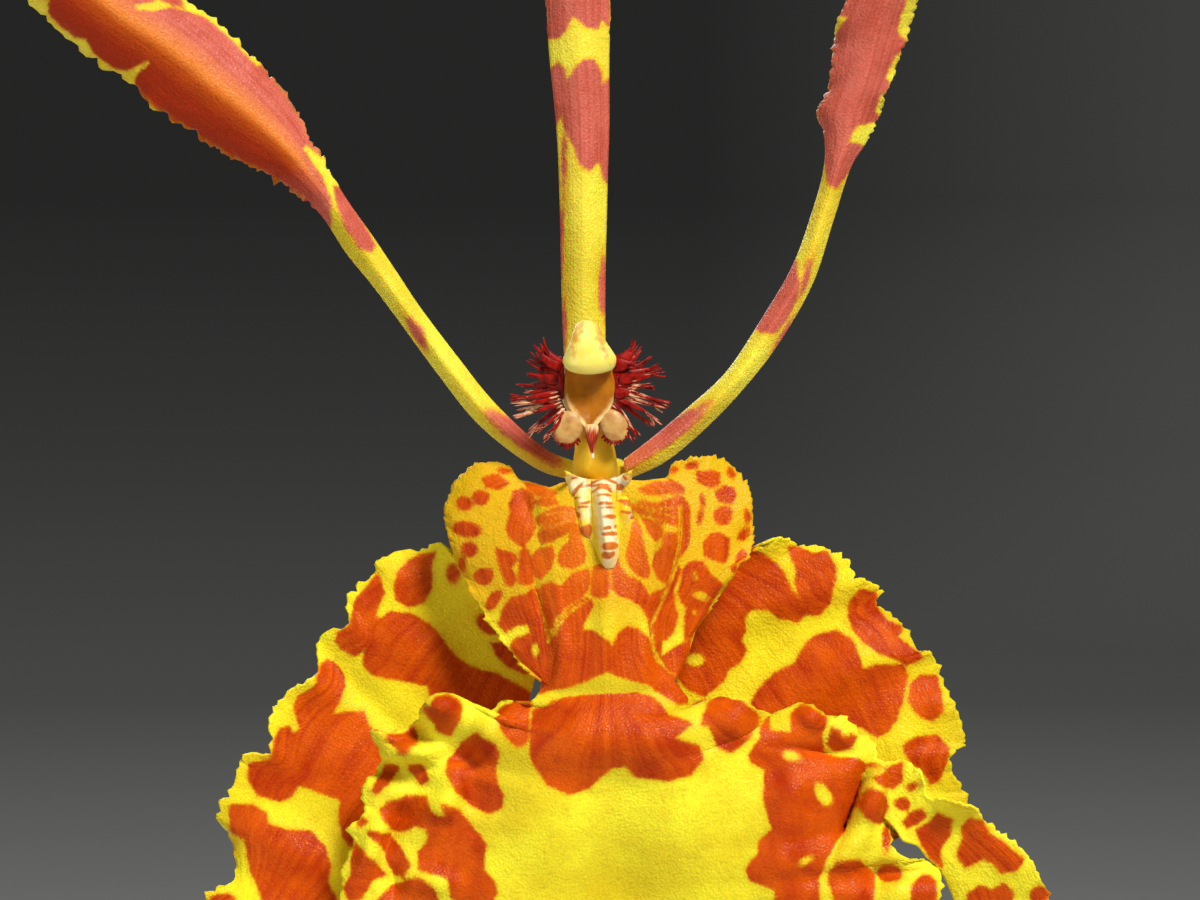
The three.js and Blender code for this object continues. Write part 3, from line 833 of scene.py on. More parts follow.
SEPAL_LEFT_MARKS = {
    "outlines": [
        [(398, 574), (408, 563), (422, 556), (436, 552), (432, 564), (432, 588), (422, 602), (408, 606),
         (397, 599), (396, 584)],
        [(378, 574), (384, 592), (376, 610), (375, 619), (382, 620), (390, 613), (410, 614), (430, 626),
         (440, 638), (452, 654), (470, 668), (496, 674), (518, 686), (540, 700), (520, 716), (480, 712),
         (440, 704), (430, 694), (428, 684), (400, 679), (374, 674), (365, 664), (366, 650), (368, 645),
         (356, 655), (344, 648), (338, 640), (339, 632), (350, 626), (353, 614), (356, 599), (366, 590)],
        [(318, 668), (326, 661), (338, 666), (344, 678), (340, 698), (330, 715), (350, 713), (362, 714),
         (370, 730), (386, 738), (400, 760), (376, 776), (362, 790), (364, 804), (366, 826), (350, 846),
         (344, 838), (340, 818), (342, 800), (328, 794), (298, 784), (292, 796), (280, 800), (258, 794),
         (249, 778), (250, 764), (260, 760), (272, 758), (274, 742), (278, 730), (288, 727), (293, 735),
         (301, 730), (294, 710), (298, 696), (316, 684)],
        [(231, 805), (252, 806), (266, 814), (268, 826), (286, 832), (310, 833), (324, 848), (329, 866),
         (327, 882), (336, 900), (330, 930), (272, 925), (260, 890), (252, 870), (250, 850), (248, 838),
         (233, 830)],
        [(492, 644), (508, 642), (518, 658), (526, 672), (510, 666), (498, 654)],
    ],
    "ovals": [
        (222, 904, 14, 10), (454, 573, 6, 10), (490, 624, 13, 9, 30), (232, 848, 3, 6), (240, 965, 24, 18),
        (300, 960, 30, 14),
    ],
}
SEPAL_RIGHT_OUTER = [
    (620, 500), (690, 530), (735, 552), (763, 545), (779, 537), (801, 544), (827, 550), (849, 559),
    (854, 575), (881, 588), (877, 604), (900, 622), (919, 650), (932, 653), (945, 685), (956, 709),
    (966, 741), (952, 754), (951, 768), (965, 792), (963, 812), (945, 824), (918, 832),
]
SEPAL_RIGHT_MIDDLE = [(612, 505), (690, 570), (755, 630), (800, 690), (838, 750), (866, 795), (905, 834)]
SEPAL_RIGHT_INNER = [
    (602, 508), (625, 560), (660, 640), (684, 700), (705, 750), (750, 795), (820, 825), (893, 836),
]
SEPAL_RIGHT_BACK = (
    [3.8, 4.4, 5.2, 5.6, 5.6, 5.0, 4.4, 3.6], [3.8, 4.8, 5.4, 5.4, 5.0, 4.6, 4.0, 3.2],
    [3.8, 4.6, 5, 5, 4.8, 4.4, 4, 3.2],
)
SEPAL_RIGHT_MARKS = {
    "outlines": [
        [(742, 546), (760, 552), (774, 564), (784, 576), (792, 592), (801, 600), (796, 586), (798, 572),
         (793, 561), (788, 546), (800, 549), (812, 556), (826, 553), (835, 566), (834, 582), (828, 602),
         (818, 614), (806, 612), (798, 620), (780, 616), (768, 608), (750, 609), (744, 616), (744, 630),
         (740, 638), (745, 650), (738, 662), (726, 670), (722, 680), (704, 695), (690, 690), (670, 672),
         (670, 640), (700, 600), (716, 560)],
        [(850, 600), (860, 589), (875, 593), (877, 610), (886, 622), (902, 628), (896, 639), (910, 648),
         (922, 655), (906, 663), (896, 658), (880, 654), (866, 644), (854, 630), (848, 616)],
        [(804, 648), (816, 636), (836, 632), (852, 642), (858, 658), (861, 669), (876, 666), (902, 664),
         (906, 678), (902, 700), (896, 720), (888, 732), (878, 737), (864, 728), (850, 722), (810, 735),
         (760, 728), (753, 704), (758, 692), (776, 674), (796, 664)],
        [(910, 686), (920, 676), (936, 677), (940, 694), (942, 710), (930, 720), (920, 716), (910, 702)],
        [(903, 746), (916, 738), (936, 736), (948, 750), (946, 762), (938, 778), (930, 782), (924, 770),
         (912, 762), (904, 752)],
    ],
    "ovals": [(703, 708, 9, 7), (900, 850, 26, 16), (880, 800, 20, 14)],
    "holes": [(695, 660, 10, 7)],
}


SEPAL_SWELLS = [
    (400, 640, 60, 22, 40, 0.4), (330, 760, 60, 26, 25, 0.25), (290, 850, 50, 22, 20, 0.6),
    (360, 690, 80, 14, 45, -0.5), (850, 665, 60, 24, -40, 0.8), (790, 600, 60, 16, -20, 0.5),
    (900, 740, 40, 20, -50, 0.6), (760, 650, 50, 20, -60, -0.5),
]


def with_back(points, backs):
    """Adds a smooth depth to an outline in the photograph."""
    points = np.asarray(points, dtype=float)
    return np.column_stack([points, profile(backs, reached(points))])


def margin_sheet(outer, middle, inner, backs):
    outlines = [with_back(points, back) for points, back in zip((outer, middle, inner), backs)]
    return lambda u, v: sheet_shape(*outlines, u, v)


petal_piece(
    "lateral_sepal_left",
    margin_sheet(SEPAL_LEFT_OUTER, SEPAL_LEFT_MIDDLE, SEPAL_LEFT_INNER, SEPAL_LEFT_BACK), SEPAL_THICKNESS,
    sepal_skin, "sepal_yellow", SEPAL_LEFT_MARKS,
    across=84, rows=190, ruffle=(1.4, 14, 2), teeth=(3.6, 95), swells=SEPAL_SWELLS, one_sided=True, seed=41,
)
petal_piece(
    "lateral_sepal_right",
    margin_sheet(SEPAL_RIGHT_OUTER, SEPAL_RIGHT_MIDDLE, SEPAL_RIGHT_INNER, SEPAL_RIGHT_BACK), SEPAL_THICKNESS,
    sepal_skin, "sepal_yellow", SEPAL_RIGHT_MARKS,
    across=84, rows=190, ruffle=(1.4, 14, 2), teeth=(3.6, 95), swells=SEPAL_SWELLS, one_sided=True, seed=51,
)

# %% [markdown]
# The lip is one grown piece. From the callus it runs down as a narrow claw between two ears
# and then spreads into the broad middle lobe. It is made of sheets that share their edges:
# the claw with the middle lobe, the two ears and the big frill on the right.

# %% Lip
LIP_THICKNESS = 0.55
CLAW_LEFT = [(560, 484), (538, 496), (533, 530), (540, 570), (547, 605), (551, 640), (546, 668), (540, 690)]
CLAW_MIDDLE = [(600, 480), (603, 515), (605, 560), (607, 610), (608, 655), (609, 700)]
CLAW_RIGHT = [
    (640, 484), (668, 480), (680, 505), (678, 552), (665, 592), (650, 624), (653, 655), (672, 678),
    (689, 700),
]
CLAW_BACK = ([-0.9, -1.3, -1.7, -1.9, -1.8], [-1.2, -1.6, -2.3, -2.8, -3.1], [-0.9, -1.4, -1.9, -2.0, -1.8])
LOBE_LEFT = [
    (540, 690), (530, 703), (503, 701), (488, 713), (469, 704), (447, 693), (424, 702), (415, 722),
    (392, 733), (371, 731), (380, 752), (378, 770), (361, 789), (364, 812), (349, 828), (352, 845),
    (343, 870), (341, 900), (350, 935), (345, 965), (362, 1000), (398, 1034), (450, 1058), (520, 1070),
]
LOBE_MIDDLE = [(609, 700), (611, 750), (615, 810), (620, 870), (626, 930), (630, 990), (633, 1040)]
LOBE_RIGHT = [
    (689, 700), (685, 722), (704, 710), (721, 697), (747, 704), (775, 715), (791, 706), (808, 703),
    (826, 716), (841, 716), (852, 723), (866, 736), (877, 752), (886, 768), (893, 800), (891, 832),
    (895, 850), (910, 859), (926, 860), (938, 869), (943, 882), (939, 902), (946, 935), (930, 965),
    (932, 1000), (900, 1036), (850, 1058), (780, 1069),
]
LOBE_BACK = (
    [-1.8, -2.2, -1.4, -1.6, -1.2, -1.6, -1.4, -0.6],
    [-3.1, -3.3, -3.4, -3.5, -3.3, -2.8, -2.0, -1.0],
    [-1.8, -2.4, -1.6, -2.2, -1.8, -2.2, -1.6, -0.6],
)
CLAW_SHARE = 0.36
EAR_LEFT_OUTER = [
    (566, 492), (548, 488), (530, 483), (517, 479), (510, 468), (498, 463), (480, 463), (466, 471),
    (455, 483), (448, 500), (444, 512), (447, 531), (452, 548), (458, 566), (465, 580), (471, 594),
    (480, 606), (486, 620), (497, 632), (502, 643), (512, 652), (518, 662), (528, 672), (541, 681),
]
EAR_RIGHT_OUTER = [
    (630, 492), (650, 484), (668, 477), (672, 465), (688, 458), (705, 456), (720, 459), (733, 467),
    (744, 480), (751, 494), (752, 512), (753, 527), (753, 541), (749, 557), (741, 562), (735, 574),
    (724, 588), (714, 604), (704, 618), (695, 631), (690, 648), (684, 661), (677, 673),
]
EAR_LEFT_BACK = [-1.0, 0.3, 0.8, 0.8, 0.4, -0.5, -1.85]
EAR_RIGHT_BACK = [-0.8, 0.3, 0.7, 0.6, 0.2, -0.4, -1.5]
FRILL_OUTER = [
    (868, 764), (887, 762), (905, 760), (918, 769), (924, 780), (928, 797), (944, 799), (959, 803),
    (975, 807), (982, 817), (995, 828), (1019, 846), (1034, 864), (1041, 882), (1049, 893), (1046, 925),
    (1052, 950), (1030, 985), (1020, 1010),
]
FRILL_INNER = [
    (872, 790), (882, 815), (896, 830), (903, 841), (917, 846), (926, 857), (936, 866), (945, 880),
    (954, 902), (965, 935), (985, 970), (1000, 1012),
]
FRILL_BACK = [-1.6, -2.6, -2.4, -1.2, -0.4]
FRILL_INNER_BACK = [-2.2, -1.6, -0.8, -0.4, 0.0]

LIP_MARKS = {
    "outlines": [
        # left ear
        [(485, 480), (492, 476), (498, 477), (508, 484), (500, 490), (488, 487)],
        [(511, 503), (515, 493), (523, 490), (533, 493), (536, 502), (533, 512), (535, 527), (532, 537),
         (524, 546), (519, 543), (511, 538), (508, 527), (510, 519), (514, 513), (511, 508)],
        [(498, 549), (505, 551), (518, 555), (517, 562), (511, 568), (515, 572), (517, 579), (513, 585),
         (508, 583), (504, 572), (500, 560)],
        [(522, 552), (526, 546), (531, 555), (534, 568), (534, 581), (527, 585), (520, 581), (521, 566)],
        [(534, 557), (541, 549), (552, 547), (554, 556), (551, 568), (542, 578), (536, 574), (533, 564)],
        [(494, 593), (502, 590), (503, 595), (495, 607), (489, 609), (488, 603)],
        [(500, 624), (505, 610), (514, 597), (527, 596), (535, 587), (540, 591), (545, 605), (549, 622),
         (551, 640), (541, 638), (533, 634), (530, 623), (517, 625), (507, 631)],
        [(511, 647), (518, 639), (530, 634), (551, 636), (554, 648), (551, 665), (549, 690), (541, 682),
         (528, 667), (518, 656)],
        # claw, left of the middle
        [(570, 524), (578, 526), (581, 540), (585, 555), (583, 563), (573, 568), (562, 566), (558, 560),
         (563, 548), (570, 542)],
        [(539, 536), (545, 527), (558, 520), (574, 518), (571, 526), (563, 534), (552, 540), (543, 543)],
        [(537, 520), (547, 511), (560, 508), (577, 510), (573, 515), (560, 518), (550, 522), (540, 524)],
        [(536, 503), (542, 498), (555, 500), (557, 504), (547, 507)],
        [(524, 484), (538, 487), (556, 493), (553, 497), (538, 495), (528, 490)],
        [(544, 587), (550, 583), (562, 587), (572, 575), (587, 571), (591, 577), (588, 590), (580, 598),
         (565, 607), (557, 615), (553, 627), (548, 617), (546, 600)],
        [(595, 568), (603, 566), (608, 564), (609, 582), (606, 598), (597, 597), (591, 592), (592, 578)],
        # claw, right of the middle, and the band below the window
        [(613, 563), (617, 558), (619, 568), (627, 577), (638, 581), (645, 590), (649, 597), (657, 592),
         (664, 590), (672, 579), (676, 567), (679, 570), (676, 580), (671, 590), (672, 603), (675, 615),
         (672, 630), (665, 639), (660, 639), (658, 658), (653, 655), (650, 632), (648, 617), (643, 607),
         (630, 599), (618, 596), (612, 590), (611, 578)],
        [(580, 601), (591, 599), (594, 606), (587, 617), (583, 625), (583, 632), (593, 631), (603, 637),
         (611, 646), (618, 633), (627, 628), (637, 630), (647, 638), (650, 650), (655, 662), (667, 673),
         (680, 681), (695, 697), (691, 702), (674, 703), (660, 694), (647, 683), (630, 679), (618, 676),
         (608, 671), (600, 674), (580, 682), (563, 687), (540, 694), (546, 670), (550, 648), (554, 640),
         (558, 625), (567, 612)],
        [(640, 490), (655, 484), (670, 482), (683, 489), (682, 494), (660, 495), (646, 494)],
        [(631, 507), (643, 501), (657, 505), (667, 501), (680, 498), (688, 508), (688, 527), (687, 543),
         (680, 556), (678, 548), (679, 527), (675, 525), (663, 525), (653, 515), (640, 512)],
        [(643, 517), (653, 520), (664, 530), (664, 537), (657, 541), (650, 534), (645, 524)],
        [(635, 520), (640, 530), (641, 540), (645, 553), (650, 570), (648, 578), (638, 577), (630, 567),
         (627, 557), (631, 540), (633, 526)],
        [(667, 535), (678, 533), (678, 550), (672, 567), (667, 582), (660, 579), (654, 565), (657, 555),
         (665, 548)],
        # right ear
        [(677, 592), (680, 583), (682, 570), (688, 563), (702, 562), (707, 572), (712, 578), (721, 583),
         (716, 590), (710, 600), (707, 613), (697, 622), (690, 637), (684, 640), (684, 620), (686, 607),
         (680, 601)],
        [(661, 658), (668, 652), (678, 645), (689, 641), (688, 650), (683, 664), (677, 676), (666, 668)],
        [(704, 542), (710, 535), (718, 533), (726, 538), (727, 555), (723, 563), (713, 560), (704, 555)],
        [(715, 493), (723, 488), (732, 490), (735, 497), (730, 504), (718, 502)],
        [(697, 473), (710, 471), (718, 475), (717, 484), (710, 488), (698, 482)],
        # neck
        [(534, 713), (548, 707), (568, 700), (602, 696), (636, 694), (653, 701), (668, 719), (690, 725),
         (672, 739), (684, 742), (697, 745), (701, 759), (690, 773), (670, 778), (636, 774), (626, 763),
         (612, 765), (598, 776), (588, 786), (568, 793), (548, 783), (533, 759), (531, 735)],
        # middle lobe, left
        [(420, 706), (431, 708), (436, 700), (448, 697), (458, 706), (459, 718), (450, 732), (440, 728),
         (437, 720), (430, 713)],
        [(498, 719), (502, 710), (514, 706), (518, 694), (530, 700), (528, 742), (518, 746), (502, 732)],
        [(464, 740), (478, 733), (492, 742), (499, 752), (496, 766), (497, 782), (504, 796), (502, 808),
         (490, 813), (472, 806), (456, 792), (450, 776), (448, 762), (456, 750)],
        [(388, 736), (404, 736), (413, 725), (416, 746), (404, 752), (396, 746)],
        [(374, 791), (382, 776), (386, 764), (398, 762), (399, 770), (388, 786), (378, 793)],
        [(409, 763), (422, 762), (430, 778), (424, 784), (414, 772)],
        [(382, 812), (390, 802), (406, 796), (428, 800), (434, 814), (446, 816), (444, 806), (456, 810),
         (470, 824), (486, 844), (484, 860), (483, 870), (493, 880), (497, 892), (490, 904), (466, 902),
         (453, 896), (448, 878), (430, 874), (420, 870), (420, 854), (430, 840), (429, 828), (416, 826),
         (408, 832), (394, 830), (384, 822)],
        [(371, 833), (386, 834), (402, 848), (411, 866), (406, 876), (396, 872), (382, 850)],
        [(356, 843), (366, 854), (384, 875), (372, 878), (362, 897), (350, 901), (344, 888), (354, 874),
         (352, 860)],
        [(376, 903), (390, 888), (418, 878), (433, 886), (440, 904), (430, 930), (396, 930)],
        # middle lobe, right
        [(701, 726), (708, 710), (720, 697), (742, 702), (757, 714), (755, 722), (748, 737), (730, 752),
         (718, 747), (714, 733), (709, 723)],
        [(749, 755), (760, 738), (762, 722), (770, 716), (768, 733), (780, 734), (792, 734), (792, 716),
         (804, 705), (825, 718), (820, 734), (823, 757), (838, 762), (856, 760), (866, 765), (857, 774),
         (862, 785), (858, 804), (850, 819), (846, 834), (833, 843), (827, 855), (817, 880), (819, 915),
         (776, 915), (776, 888), (750, 879), (747, 868), (760, 854), (759, 841), (774, 828), (769, 814),
         (764, 796), (766, 769), (752, 762)],
        [(829, 742), (831, 729), (838, 732), (842, 738), (855, 736), (850, 745), (837, 749)],
        [(862, 805), (872, 790), (881, 794), (886, 807), (879, 822), (869, 818)],
        [(877, 779), (890, 768), (903, 763), (902, 778), (892, 787), (880, 785)],
        [(902, 822), (910, 814), (922, 808), (926, 814), (916, 822), (906, 827)],
        [(831, 870), (840, 862), (856, 859), (867, 868), (873, 878), (872, 905), (836, 905), (830, 882)],
        [(913, 888), (924, 877), (934, 882), (936, 906), (910, 906)],
        # frill
        [(916, 830), (928, 822), (938, 812), (951, 817), (949, 834), (942, 844), (938, 850), (941, 866),
         (932, 859), (922, 845)],
        [(963, 826), (972, 817), (983, 822), (988, 834), (1003, 842), (1024, 860), (1016, 869), (1002, 871),
         (994, 861), (984, 857), (966, 865), (958, 854), (965, 838)],
        [(969, 893), (980, 885), (992, 890), (1004, 884), (1013, 892), (1010, 908), (968, 908)],
    ],
    "ovals": [
        (504, 472, 6, 3.2, 10), (466, 504, 8, 7, 15), (482, 498, 8, 7), (469, 529, 14, 7, 8),
        (471, 549, 8, 7), (464, 564, 4, 7), (486, 576, 10, 8, -20), (692, 466, 6, 3.5, -10),
        (730, 474, 4, 6, -25), (722, 516, 9.5, 9), (746, 516, 3.2, 5), (742, 534, 5, 7, 30),
        (741, 557, 5, 6, 30), (736, 569, 5, 3), (701, 501, 2.6, 5), (699, 518, 2.6, 7, 10),
        (675, 471, 4, 3, -40), (902, 803, 8, 6), (890, 873, 12, 11, 20), (914, 785, 6, 3.5, -20),
        (874, 766, 5, 2), (886, 838, 4, 12), (363, 822, 5, 4), (1040, 894, 10, 9), (440, 960, 34, 22),
        (380, 960, 18, 14), (470, 1010, 30, 16), (860, 950, 34, 22), (900, 940, 16, 14),
        (830, 1010, 36, 20), (780, 950, 12, 10), (995, 940, 20, 20), (1025, 965, 14, 14),
    ],
    "holes": [
        (699, 595, 9.5, 4.5, 25), (693.5, 573, 2.6, 3), (693, 612, 2, 3), (537, 650, 3.6, 7),
        (791, 757, 10, 5, 24), (822, 794, 8, 14, -35), (804, 860, 9, 4, -25), (695, 578, 3, 2.5),
    ],
    "strokes": [
        (1.6, ((534, 586), (545, 612), (551, 642), (562, 620), (576, 608), (592, 599))),
        (1.0, ((610, 566), (610.5, 600))), (0.9, ((591, 568), (591, 596))),
        (1.3, ((679, 507), (678, 545), (671, 573), (662, 598), (650, 624), (652, 650), (664, 668))),
        (1.4, ((538, 512), (556, 507), (566, 504))), (1.2, ((640, 502), (655, 497), (676, 494))),
        (0.8, ((646, 510), (660, 513), (676, 518))), (0.8, ((636, 505), (656, 509), (672, 509))),
        (0.8, ((650, 517), (664, 521), (674, 530))), (0.8, ((546, 516), (560, 514), (574, 513))),
        (0.8, ((544, 530), (556, 526), (570, 521))),
    ],
}


def joined(first, second, backs_first, backs_second):
    return with_back(first, backs_first), with_back(second, backs_second)


CLAW_MARGINS = (CLAW_LEFT, CLAW_MIDDLE, CLAW_RIGHT)
LOBE_MARGINS = (LOBE_LEFT, LOBE_MIDDLE, LOBE_RIGHT)
LIP_OUTLINES = [joined(*runs) for runs in zip(CLAW_MARGINS, LOBE_MARGINS, CLAW_BACK, LOBE_BACK)]


def lip_shape(u, v):
    return sheet_shape(*LIP_OUTLINES, u, v, knots=CLAW_SHARE)


def claw_line(across, start, end, step):
    """A line down the claw at a fixed share of its width, step mm in front of its surface."""
    line = lip_shape(np.full(16, across), np.linspace(start, end, 16) * CLAW_SHARE)
    line[:, 2] -= step
    return line


def two_margin_sheet(outer, inner, bulge):
    """A sheet between two margins. Its middle lies bulge mm in front of the straight way."""
    samples = np.linspace(0, 1, 24)
    middle = (along(outer, samples) + along(inner, samples)) / 2
    middle[:, 2] -= profile(bulge, samples)
    return lambda u, v: sheet_shape(outer, middle, inner, u, v)


EAR_LEFT = two_margin_sheet(
    with_back(EAR_LEFT_OUTER, EAR_LEFT_BACK), claw_line(0.09, 0.03, 0.97, 0.06), [0, 0.1, 0.2, 0.1, 0]
)
EAR_RIGHT = two_margin_sheet(
    with_back(EAR_RIGHT_OUTER, EAR_RIGHT_BACK), claw_line(0.90, 0.03, 0.97, -0.35), [0, 0.1, 0.2, 0.1, 0]
)
FRILL = two_margin_sheet(
    with_back(FRILL_OUTER, FRILL_BACK), with_back(FRILL_INNER, FRILL_INNER_BACK), [0, -0.7, -0.2, 0, 0]
)
LIP_SWELLS = [
    # the claw's fold, middle and cheeks
    (608, 615, 12, 50, 0, 0.5), (543, 610, 7, 38, -14, -0.45), (558, 640, 9, 40, -8, 0.6),
    (646, 645, 9, 34, 8, 0.5), (528, 508, 20, 8, 70, -0.5), (668, 545, 9, 40, 10, 0.6),
    (640, 520, 16, 10, 20, -0.4), (560, 525, 16, 10, -20, 0.4), (603, 520, 30, 40, 0, -0.3),
    # the bulge below the neck
    (612, 738, 84, 32, 0, 1.3), (612, 695, 84, 9, 0, -0.3), (572, 748, 26, 34, 0, 0.35),
    (655, 745, 26, 30, 0, 0.35), (622, 890, 50, 70, 0, -2.0), (540, 820, 50, 50, 0, 0.6),
    (700, 800, 40, 50, 0, 0.5),
    # crumples of the left margin
    (405, 752, 34, 6, -6, 1.0), (412, 768, 34, 8, -8, -0.9), (468, 765, 18, 40, -12, -0.9),
    (447, 800, 12, 30, 30, 1.2), (396, 826, 10, 34, 30, -1.2), (374, 846, 9, 28, 20, 1.1),
    (506, 715, 16, 12, 0, 0.8), (446, 705, 12, 10, 0, 0.8), (420, 735, 10, 14, 20, -0.8),
    (488, 735, 10, 20, 0, 0.6), (430, 880, 30, 12, 10, 0.7), (395, 880, 10, 20, 0, -0.9),
    # crumples of the right margin
    (852, 806, 7, 46, 20, -2.0), (872, 806, 9, 38, 20, 1.3), (770, 712, 8, 14, 10, -0.9),
    (812, 716, 10, 10, 0, 0.9), (790, 800, 16, 50, 8, 0.7), (840, 860, 14, 30, 20, 0.8),
    (905, 860, 20, 10, 20, 0.9), (892, 800, 6, 20, 0, -1.0), (908, 792, 8, 14, -20, 1.0),
    (736, 728, 16, 14, 0, 0.8), (845, 735, 16, 8, 20, 0.8), (820, 752, 30, 7, 8, -0.8),
    (780, 870, 20, 30, 20, 0.6), (875, 880, 12, 20, 0, -0.8), (1000, 850, 12, 20, -40, 0.6),
    (960, 830, 8, 20, -20, -0.6),
]
lip_mesh = bmesh.new()
add_sheet(
    lip_mesh, lip_shape, across=146, rows=224, ruffle=(1.3, 30, 2), teeth=(4.0, 140), swells=LIP_SWELLS,
    smooth_until=CLAW_SHARE - 0.015, seed=61,
)
for shape, seed in ((EAR_LEFT, 71), (EAR_RIGHT, 81)):
    add_sheet(
        lip_mesh, shape, across=44, rows=120, ruffle=(0.6, 10, 1), teeth=(2.8, 75), tip=False,
        swells=LIP_SWELLS, one_sided=True, seed=seed,
    )
add_sheet(
    lip_mesh, FRILL, across=34, rows=110, ruffle=(0.9, 12, 1), teeth=(3.2, 70), one_sided=True, seed=91,
)
face_camera(lip_mesh)
lip = finish_mesh(lip_mesh, "lip")
paint_blotches(lip, LIP_MARKS)
thicken(lip, LIP_THICKNESS)
lip.data.materials.append(lip_skin)
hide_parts("lip")
print("lip faces:", len(lip.data.polygons))

# %% [markdown]
# The callus is the waxy, cream-coloured guide at the top of the lip: a ridge barred like a
# ladder, with a keel and a horn on each side. It grew as part of the lip. It is modelled as
# its own small sheet, so that its fine bars get a fine grid.

# %% Callus
CALLUS_THICKNESS = 0.4
CALLUS_LEFT = [(565, 471), (567, 484), (571, 498), (574, 512), (577, 526), (584, 546), (598, 562)]
CALLUS_MIDDLE = [(599, 480), (601, 500), (604, 525), (606, 548), (609, 567)]
CALLUS_RIGHT = [(632, 470), (631, 484), (631, 499), (634, 516), (627, 530), (622, 546), (617, 562)]
CALLUS_BACK = (
    [-1.6, -0.8, -0.8, -0.8, -1.0, -1.4], [-1.5, -1.5, -1.7, -1.9, -2.0],
    [-1.6, -0.8, -0.8, -0.8, -1.0, -1.4],
)
CALLUS_SWELLS = [
    (603, 500, 6, 18, -4, 1.0), (606, 525, 6.5, 20, -4, 1.2), (609, 550, 6.5, 16, -4, 1.1),
    (582, 506, 5, 16, -6, 0.7), (585, 528, 4, 10, -8, 0.5), (626, 508, 5, 12, 10, 0.7),
    (633, 517, 3, 4, 0, 0.4), (567, 474, 4, 6, 20, 0.9), (630, 473, 4, 6, -20, 0.9),
    (572, 492, 5, 10, 20, 0.4), (592, 495, 2, 22, -4, -0.4), (615, 500, 2, 22, 4, -0.4),
]
CREAM_OVALS = [
    (578, 484, 12, 9, 20), (620, 482, 12, 8, -20), (600, 487, 10, 7), (604, 505, 6, 16, -4),
    (607, 530, 6.5, 22, -4), (610, 553, 5, 13, -4), (586, 509, 4, 12, -8), (630, 514, 3, 4, 30),
]
BAR_OVALS = [
    (594, 483, 10, 1.6, -18), (610, 481, 11, 1.6, 16), (600, 486, 8, 1.3), (597, 491, 4, 1.2, -30),
    (607, 491, 4, 1.2, 30), (604, 489, 5, 1.3), (605, 496, 5, 1.5), (606, 504, 5.5, 1.6),
    (608, 508, 5, 1.3), (609, 517, 5, 2.4), (607, 528, 2, 2), (613, 527, 1.6, 1.8), (610, 534, 5, 2.2),
    (610, 546, 5.5, 3.6), (608, 554, 4.5, 3, -20), (574, 477, 4, 1.6), (578, 488, 8, 2, -52),
    (575, 493, 4, 1.5, -30), (573, 501, 5, 2.4, 70), (577, 498, 4, 1.4), (585, 503, 4, 1.5, -20),
    (583, 507, 3, 1.3), (580, 515, 2.6, 3.4), (587, 533, 4.6, 8.6), (591, 549, 2, 3),
    (626, 476, 3, 1.5, 40), (620, 487, 5, 3, 20), (627, 491, 4, 5, 30), (622, 502, 5, 1.6, 20),
    (627, 504, 3, 3), (626, 512, 3.6, 1.4, 10), (631, 517, 2.6, 1.8, -30), (621, 532, 1.6, 4),
    (625, 546, 1.6, 4), (627, 528, 1.2, 3),
]


def read_spot(piece):
    return read_attribute(piece.data, "pixel_x"), read_attribute(piece.data, "pixel_y")


callus_mesh = bmesh.new()
callus_margins = (CALLUS_LEFT, CALLUS_MIDDLE, CALLUS_RIGHT)
callus_outlines = [with_back(points, backs) for points, backs in zip(callus_margins, CALLUS_BACK)]
add_sheet(
    callus_mesh, lambda u, v: sheet_shape(*callus_outlines, u, v), across=110, rows=160, teeth=(0.8, 20),
    tip=False, swells=CALLUS_SWELLS, seed=101,
)
face_camera(callus_mesh)
callus = finish_mesh(callus_mesh, "callus")
store_ovals(callus, "cream", *read_spot(callus), CREAM_OVALS)
store_ovals(callus, "bar", *read_spot(callus), BAR_OVALS, 0.5)
thicken(callus, CALLUS_THICKNESS, 6)

n = Nodes("callus_skin")
wax = n.mix(n.patches(1600, 3.0, 0.35, 0.7), (0.90, 0.74, 0.34), (0.96, 0.88, 0.62))
shake = n.patches(2600, 2.0, 0.3, 0.7, -2.5, 2.5)
wax = n.mix(n.span(n.plus(n.attribute("cream"), shake), -3, 3), wax, (0.88, 0.60, 0.015))
bar_edge = n.plus(n.attribute("bar"), n.times(shake, 0.16))
bars = n.mix(n.noise(2200), (0.50, 0.09, 0.006), (0.76, 0.24, 0.03))
waxy = n.mix(n.span(bar_edge, -0.5, 0.5, 1.0, 0.0), wax, bars)
callus.data.materials.append(
    n.surface(
        waxy, n.patches(3000, 2.0, 0.3, 0.7, 0.3, 0.5), n.bump(n.noise(4200, 2.0), 0.2, 0.00006),
        Subsurface_Weight=0.3, Subsurface_Scale=0.0006, Specular_IOR_Level=0.35,
    )
)
print("callus faces:", len(callus.data.polygons))

# %% [markdown]
# Rounded parts, such as the column, the stalk or a root, are limbs: a grid rolled into a
# tube round a smooth route, with its ends drawn together and welded shut.

# %% A limb along a route


def limb(route, radii, flat=1.0, front=(0, -1, 0), blunt=(0.04, 0.04), swell=None, marks=None):
    """A closed body round a route in metres. The radii are in mm, flat is its depth against its
    width, and blunt says over which share of its length each end rounds off."""

    def place(u, v):
        centre, ahead = frame_along(route, v)
        side, out = across_route(ahead, front)
        start, end = blunt
        rounding = np.sqrt(1 - np.clip(1 - v / start, 0, 1) ** 2)
        rounding *= np.sqrt(1 - np.clip(1 - (1 - v) / end, 0, 1) ** 2)
        turn = 2 * math.pi * u
        radius = profile(radii, v) * rounding * MM
        if swell:
            radius = radius * (1 + swell(turn, v))
        points = centre + (radius * np.cos(turn))[:, None] * side
        points += (radius * flat * np.sin(turn))[:, None] * out
        values = {"along": v, "angle": turn}
        values.update(marks or {})
        return points, {name: np.broadcast_to(value, v.shape) for name, value in values.items()}

    return place


